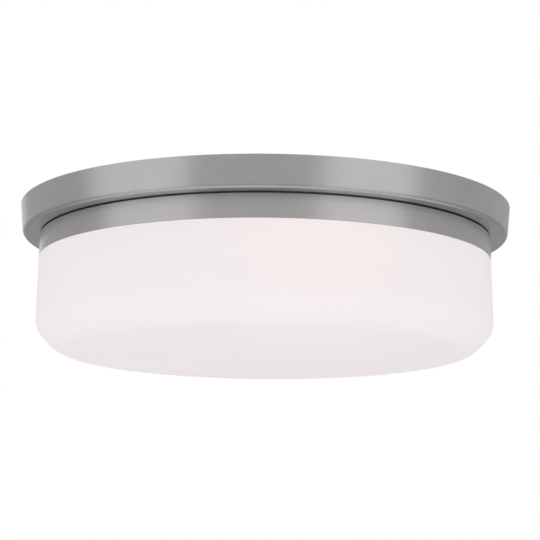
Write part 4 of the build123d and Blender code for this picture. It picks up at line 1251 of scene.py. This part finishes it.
# %% Bushing
BUSHING_GAP = 0.3
BUSHING_WALL = 2.0
BUSHING_BORE = hypot(LEAD_INSET, LEAD_SPREAD) + LEAD_RADIUS + BUSHING_GAP
BUSHING_RADIUS = BUSHING_BORE + BUSHING_WALL
BUSHING_FLANGE = 2.8
BUSHING_LIP = 1.5
BUSHING_ROUND = 0.7
BARB_ROUND = 0.2
BARB_END_ROUND = 0.3

bushing = turned(
    "snap_bushing",
    [
        (BUSHING_BORE, FLOOR_Z - BUSHING_LIP, BUSHING_ROUND),
        (BUSHING_RADIUS + BUSHING_FLANGE, FLOOR_Z - BUSHING_LIP, BUSHING_ROUND),
        (BUSHING_RADIUS + BUSHING_FLANGE, FLOOR_Z),
        (BUSHING_RADIUS, FLOOR_Z),
        (BUSHING_RADIUS, floor_top),
        (BUSHING_RADIUS + BUSHING_LIP / 2, floor_top, BARB_ROUND),
        (BUSHING_RADIUS, floor_top + BUSHING_LIP, BARB_END_ROUND),
        (BUSHING_BORE, floor_top + BUSHING_LIP, BUSHING_ROUND),
    ],
    steps=64,
)
smooth(bushing)
dress(bushing, "fixture", "black_nylon", finishes["black_nylon"], "lead_bushing")

# %% [markdown]
# ## Insulation mat
# A ring of glass-fibre mat lies on the pan and keeps the bulbs' heat from the ceiling. It is soft,
# uneven and fibrous. A turned ring with rounded edges is cut fine and pushed about by a cloudy
# texture, more on top than below, where it lies on the sheet; no sewn cover holds it, so there is
# no cloth to simulate. The yellow comes from its binder, the pale strands from the glass.

# %% Glass fibre
FIBRE_LENGTH = 10.0
FIBRE_WIDTH = 0.6  # real fibres are under 0.02 mm; drawn as the bundles that the eye makes out
FIBRE_RISE = 3 * FIBRE_WIDTH
FIBRE_TURNS = (15, 75, 135)
STRAND_RANGE = (0.45, 0.75)


def glass_fibre():
    """Yellow mat: three layers of stretched noise laid across each other, with a deep soft relief."""
    material, tree = new_material("glass_fibre_mat")
    place = add(tree, "TexCoord").outputs["Object"]
    strands = None
    for turn in map(radians, FIBRE_TURNS):
        size = Vector((FIBRE_LENGTH, FIBRE_WIDTH, FIBRE_RISE)) * MM
        stretch = {"Vector": place, "Rotation": (0, 0, turn), "Scale": size}
        laid = add(tree, "Mapping", stretch, vector_type="TEXTURE").outputs[0]
        waver = {"Vector": laid, "Scale": 1.0, "Detail": 4.0, "Distortion": 0.8}
        layer = add(tree, "TexNoise", waver).outputs["Fac"]
        strands = reckon(tree, "MAXIMUM", strands, layer) if strands else layer
    tone = ramp(tree, strands, STRAND_RANGE)
    surface(
        tree,
        {
            "Base Color": blend(tree, tone, "#D6B967", "#F4E7BA"),
            "Roughness": 0.9,
            "Sheen Weight": 0.3,
            "Sheen Roughness": 0.4,
            "Normal": relief(tree, strands, 0.8, 0.8),
        },
    )
    return material


fibre = glass_fibre()
print("made", fibre.name)

# %% Insulation mat
PAD_INNER = 76.0
PAD_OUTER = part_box("insulation_pad")[1].x / MM
PAD_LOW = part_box("insulation_pad")[0].z / MM
PAD_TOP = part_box("insulation_pad")[1].z / MM
PAD_EDGE = 4.0
PAD_LOW_EDGE = 1.5
PAD_UNEVEN = 2.2
LUMP_ROOM = 0.8
LUMP_SIZE = 26.0
LUMP_LEVEL = 0.6  # the grey of the cloud at which the skin stays where it is
pad_skin = PAD_TOP - LUMP_ROOM

pad = turned(
    "fibre_mat_ring",
    [
        (PAD_INNER, PAD_LOW, PAD_LOW_EDGE, 4),
        (PAD_INNER, pad_skin, PAD_EDGE, 26),
        (PAD_OUTER, pad_skin, PAD_EDGE, 4),
        (PAD_OUTER, PAD_LOW, PAD_LOW_EDGE, 10),
    ],
    steps=220,
)
lumps = bpy.data.textures.new("mat_lumps", "CLOUDS")
lumps.noise_scale = LUMP_SIZE * MM
lumps.noise_depth = 3
loose = pad.vertex_groups.new(name="loose")
for v in pad.data.vertices:
    rise = (v.co.z / MM - PAD_LOW) / (PAD_TOP - PAD_LOW)
    loose.add([v.index], min(1.0, max(0.0, rise)), "REPLACE")
use(
    pad,
    "DISPLACE",
    texture=lumps,
    texture_coords="LOCAL",
    strength=PAD_UNEVEN * MM,
    mid_level=LUMP_LEVEL,
    vertex_group="loose",
)
smooth(pad, angle=60)
dress(pad, "fixture", "glass_fibre", fibre, "insulation_pad")

# %% [markdown]
# ## Lamp sockets
# A porcelain cup is screwed to each bracket from behind. In it sits a thin brass shell with a
# rolled thread. Each piece is turned once, upright on the Z axis with its height counted as the
# distance from the light's axis, and then copied to the three lamps with one turn and one move.


# %% Lamp helper
def to_lamps(piece, name, body, slot, material, node):
    """Copy a piece to the three lamps; name, body and node take the lamp's number."""
    for n, azimuth in LAMP_AZIMUTHS.items():
        move = Matrix.Translation((0, 0, LAMP_Z)) @ Matrix.Rotation(radians(azimuth), 4, "Z")
        twin = copied(piece, name.format(n), move @ Matrix.Rotation(radians(90), 4, "Y"))
        dress(twin, body.format(n), slot, material, node.format(n))
    bpy.data.objects.remove(piece)


# %% Sockets
SOCKET_FLOOR = SOCKET_BACK + 12.0
SOCKET_MOUTH = SOCKET_BACK + 43.0
SOCKET_BORE = 14.15
SOCKET_RADIUS = 17.55
LIP_RADIUS = 19.55
LIP_FOOT = SOCKET_MOUTH - 12.0
LIP_FLARE = 2.0
LIP_ROUND = 0.8
GLAZE_EDGE = 1.2
SCREW_SIDE = 11.5
SCREW_RADIUS = 1.5
SCREW_DEPTH = 7.0
drill_start = SOCKET_BACK - 1.0
screw_hole_end = SOCKET_BACK + SCREW_DEPTH
lead_hole_end = LEAD_END + HOLE_GAP

porcelain = turned(
    "porcelain_cup",
    [
        (0, SOCKET_BACK),
        (SOCKET_RADIUS, SOCKET_BACK, GLAZE_EDGE),
        (SOCKET_RADIUS, LIP_FOOT - LIP_FLARE, LIP_ROUND),
        (LIP_RADIUS, LIP_FOOT, LIP_ROUND),
        (LIP_RADIUS, SOCKET_MOUTH, GLAZE_EDGE),
        (SOCKET_BORE, SOCKET_MOUTH, GLAZE_EDGE),
        (SOCKET_BORE, SOCKET_FLOOR),
        (0, SOCKET_FLOOR),
    ],
    steps=64,
)
for side in (-1, 1):
    drill(porcelain, SCREW_RADIUS + HOLE_GAP, drill_start, screw_hole_end, y=side * SCREW_SIDE)
    drill(porcelain, LEAD_RADIUS + HOLE_GAP, drill_start, lead_hole_end, y=side * LEAD_SPREAD)
smooth(porcelain)
to_lamps(
    porcelain, "lamp_{}_porcelain", "fixture", "porcelain", finishes["glazed_porcelain"], "socket_{}_body"
)

# %% Screw shells
LAMP_PITCH = 3.629
LAMP_THREAD = 1.0
LAMP_PITCH_CUTS = 12
SHELL_RADIUS = 13.85
SHELL_SHEET = 0.5
SHELL_END = SOCKET_FLOOR + 27.0
SHELL_HOLE = 7.5
shell_cuts = ceil((SHELL_END - SOCKET_FLOOR) / LAMP_PITCH * LAMP_PITCH_CUTS)
shell_inner = SHELL_RADIUS - SHELL_SHEET
shell_floor = SOCKET_FLOOR + SHELL_SHEET

shell = turned(
    "brass_shell",
    [
        (SHELL_HOLE, SOCKET_FLOOR),
        (SHELL_RADIUS, SOCKET_FLOOR, 0, shell_cuts),
        (SHELL_RADIUS, SHELL_END),
        (shell_inner, SHELL_END, 0, shell_cuts),
        (shell_inner, shell_floor),
        (SHELL_HOLE, shell_floor),
    ],
)
for radius in (SHELL_RADIUS, shell_inner):
    roll_thread(
        shell, radius, LAMP_THREAD, LAMP_PITCH, shell_floor, SHELL_END, run_in=4.0, run_out=2.0
    )
smooth(shell, angle=60)
to_lamps(shell, "lamp_{}_screw_shell", "fixture", "brass", brass, "socket_{}_shell")

# %% Socket screws
SCREW_HEAD_RADIUS = 3.0
SCREW_HEAD = 1.8
SCREW_CUTS = 48
bracket_face = BRACKET_SHEET - SOCKET_BACK
screw_top = bracket_face + SCREW_HEAD
screw_end = HOLE_GAP - screw_hole_end

socket_screws = turned(
    "socket_screw_set",
    [
        (0, screw_end),
        (SCREW_RADIUS, screw_end, 0, SCREW_CUTS),
        (SCREW_RADIUS, bracket_face),
        (SCREW_HEAD_RADIUS, bracket_face),
        (SCREW_HEAD_RADIUS, screw_top, HEAD_ROUND),
        (0, screw_top),
    ],
    steps=24,
)
roll_thread(
    socket_screws,
    SCREW_RADIUS,
    depth=0.25,
    pitch=0.7,
    low=screw_end,
    high=bracket_face,
    run_in=0.6,
    run_out=1.5,
)
slot_head(socket_screws, screw_top, length=7.0, width=0.8, depth=0.9)
inwards = Matrix.Rotation(radians(-90), 4, "Y")
screw_moves = [
    Matrix.Translation((0, 0, LAMP_Z))
    @ Matrix.Rotation(radians(azimuth), 4, "Z")
    @ Matrix.Translation((0, side * SCREW_SIDE * MM, 0))
    @ inwards
    for azimuth in LAMP_AZIMUTHS.values()
    for side in (-1, 1)
]
socket_screws = repeated(socket_screws, screw_moves)
smooth(socket_screws, angle=40)
dress(socket_screws, "fixture", "zinc_steel", zinc, "socket_screws")

# %% [markdown]
# ## Bulbs
# A pear-shaped bulb is a blown ball whose neck flares in one arc down to the base. Ball and flare
# are arcs that touch, so their points come from two angles. The base is thin sheet with the same
# rolled thread as the shell; both take their wave from the same height and angle, so the threads
# stay in mesh while the bulb unscrews.

# %% Bulb envelope
BULB_TIP = 45.2
BULB_RIM = BULB_TIP + 26.0
BULB_END = BULB_TIP + 108.0
BALL_RADIUS = BULB_RADIUS / MM
BALL_CENTRE = BULB_END - BALL_RADIUS
BULB_NECK = 13.0
NECK_END = BULB_RIM + 10.0
BULB_WALL = 0.8
neck_span = BALL_CENTRE - NECK_END
flare_radius = (neck_span**2 + BULB_NECK**2 - BALL_RADIUS**2) / (2 * (BALL_RADIUS - BULB_NECK))
ball_turn = atan2(BULB_NECK + flare_radius, -neck_span)


def pear(inset):
    """Corners of the bulb's outline from its end to its rim, inset from the outer face."""
    ball, flare = BALL_RADIUS - inset, flare_radius + inset
    ball_angles = [ball_turn * i / 20 for i in range(21)]
    flare_angles = [(ball_turn - pi / 2) * i / 8 for i in reversed(range(8))]
    return [
        *[(ball * sin(a), BALL_CENTRE + ball * cos(a)) for a in ball_angles],
        *[(BULB_NECK + flare_radius - flare * cos(a), NECK_END + flare * sin(a)) for a in flare_angles],
        (BULB_NECK - inset, BULB_RIM),
    ]


envelope = turned("bulb_glass", [*pear(0.0), *reversed(pear(BULB_WALL))], steps=64)
smooth(envelope, angle=60)
to_lamps(
    envelope,
    "bulb_{}_frosted_glass",
    "bulb_{}",
    "frosted_glass",
    finishes["frosted_bulb_glass"],
    "bulb_{}_envelope",
)

# %% Bulb base
BASE_RADIUS = 13.0
BASE_SHEET = 0.4
PLAIN_RIM = 0.8
HEEL = BULB_TIP + 5.0
TIP_RADIUS = 4.2
INSULATOR_RADIUS = (TIP_RADIUS + BASE_RADIUS) / 2
slope_end = HEEL + BASE_RADIUS - INSULATOR_RADIUS
base_cuts = ceil((BULB_RIM - slope_end) / LAMP_PITCH * LAMP_PITCH_CUTS)
base_inner = BASE_RADIUS - BASE_SHEET

base = turned(
    "bulb_cap",
    [
        (INSULATOR_RADIUS, HEEL),
        (BASE_RADIUS, slope_end, 0, base_cuts),
        (BASE_RADIUS, BULB_RIM),
        (base_inner, BULB_RIM, 0, base_cuts),
        (base_inner, slope_end + BASE_SHEET * tan(radians(45 / 2))),
        (INSULATOR_RADIUS, HEEL + BASE_SHEET * sqrt(2)),
    ],
)
for radius in (BASE_RADIUS, base_inner):
    roll_thread(
        base, radius, LAMP_THREAD, LAMP_PITCH, slope_end, BULB_RIM - PLAIN_RIM, run_in=0.01, run_out=2.0
    )
smooth(base, angle=60)
to_lamps(
    base, "bulb_{}_screw_cap", "bulb_{}", "bulb_cap_metal", finishes["tinned_brass"], "bulb_{}_base"
)

# %% Glass bead and solder point
POINT_EDGE = 0.3
POINT_CROWN_RADIUS = 2.7
POINT_CROWN_ROUND = 2.5
BEAD_ROUND = 1.0
point_crown = BULB_TIP + 0.5
point_foot = BULB_TIP + 2.2
bead_foot = BULB_TIP + 2.3
bead_shoulder = HEEL - 0.3
bead_end = HEEL + 4.0
bead_radius = INSULATOR_RADIUS - HOLE_GAP

insulator = turned(
    "bulb_bead",
    [
        (0, bead_foot),
        (TIP_RADIUS, bead_foot, POINT_EDGE),
        (bead_radius, bead_shoulder, BEAD_ROUND),
        (bead_radius, bead_end),
        (0, bead_end),
    ],
)
smooth(insulator)
to_lamps(
    insulator,
    "bulb_{}_glass_bead",
    "bulb_{}",
    "black_insulator",
    finishes["black_bead_glass"],
    "bulb_{}_insulator",
)

tip = turned(
    "bulb_point",
    [
        (0, BULB_TIP),
        (POINT_CROWN_RADIUS, point_crown, POINT_CROWN_ROUND),
        (TIP_RADIUS, point_foot - POINT_EDGE, POINT_EDGE),
        (TIP_RADIUS, point_foot),
        (0, point_foot),
    ],
)
smooth(tip, angle=45)
to_lamps(tip, "bulb_{}_solder_point", "bulb_{}_point", "solder", finishes["soft_solder"], "bulb_{}_tip")
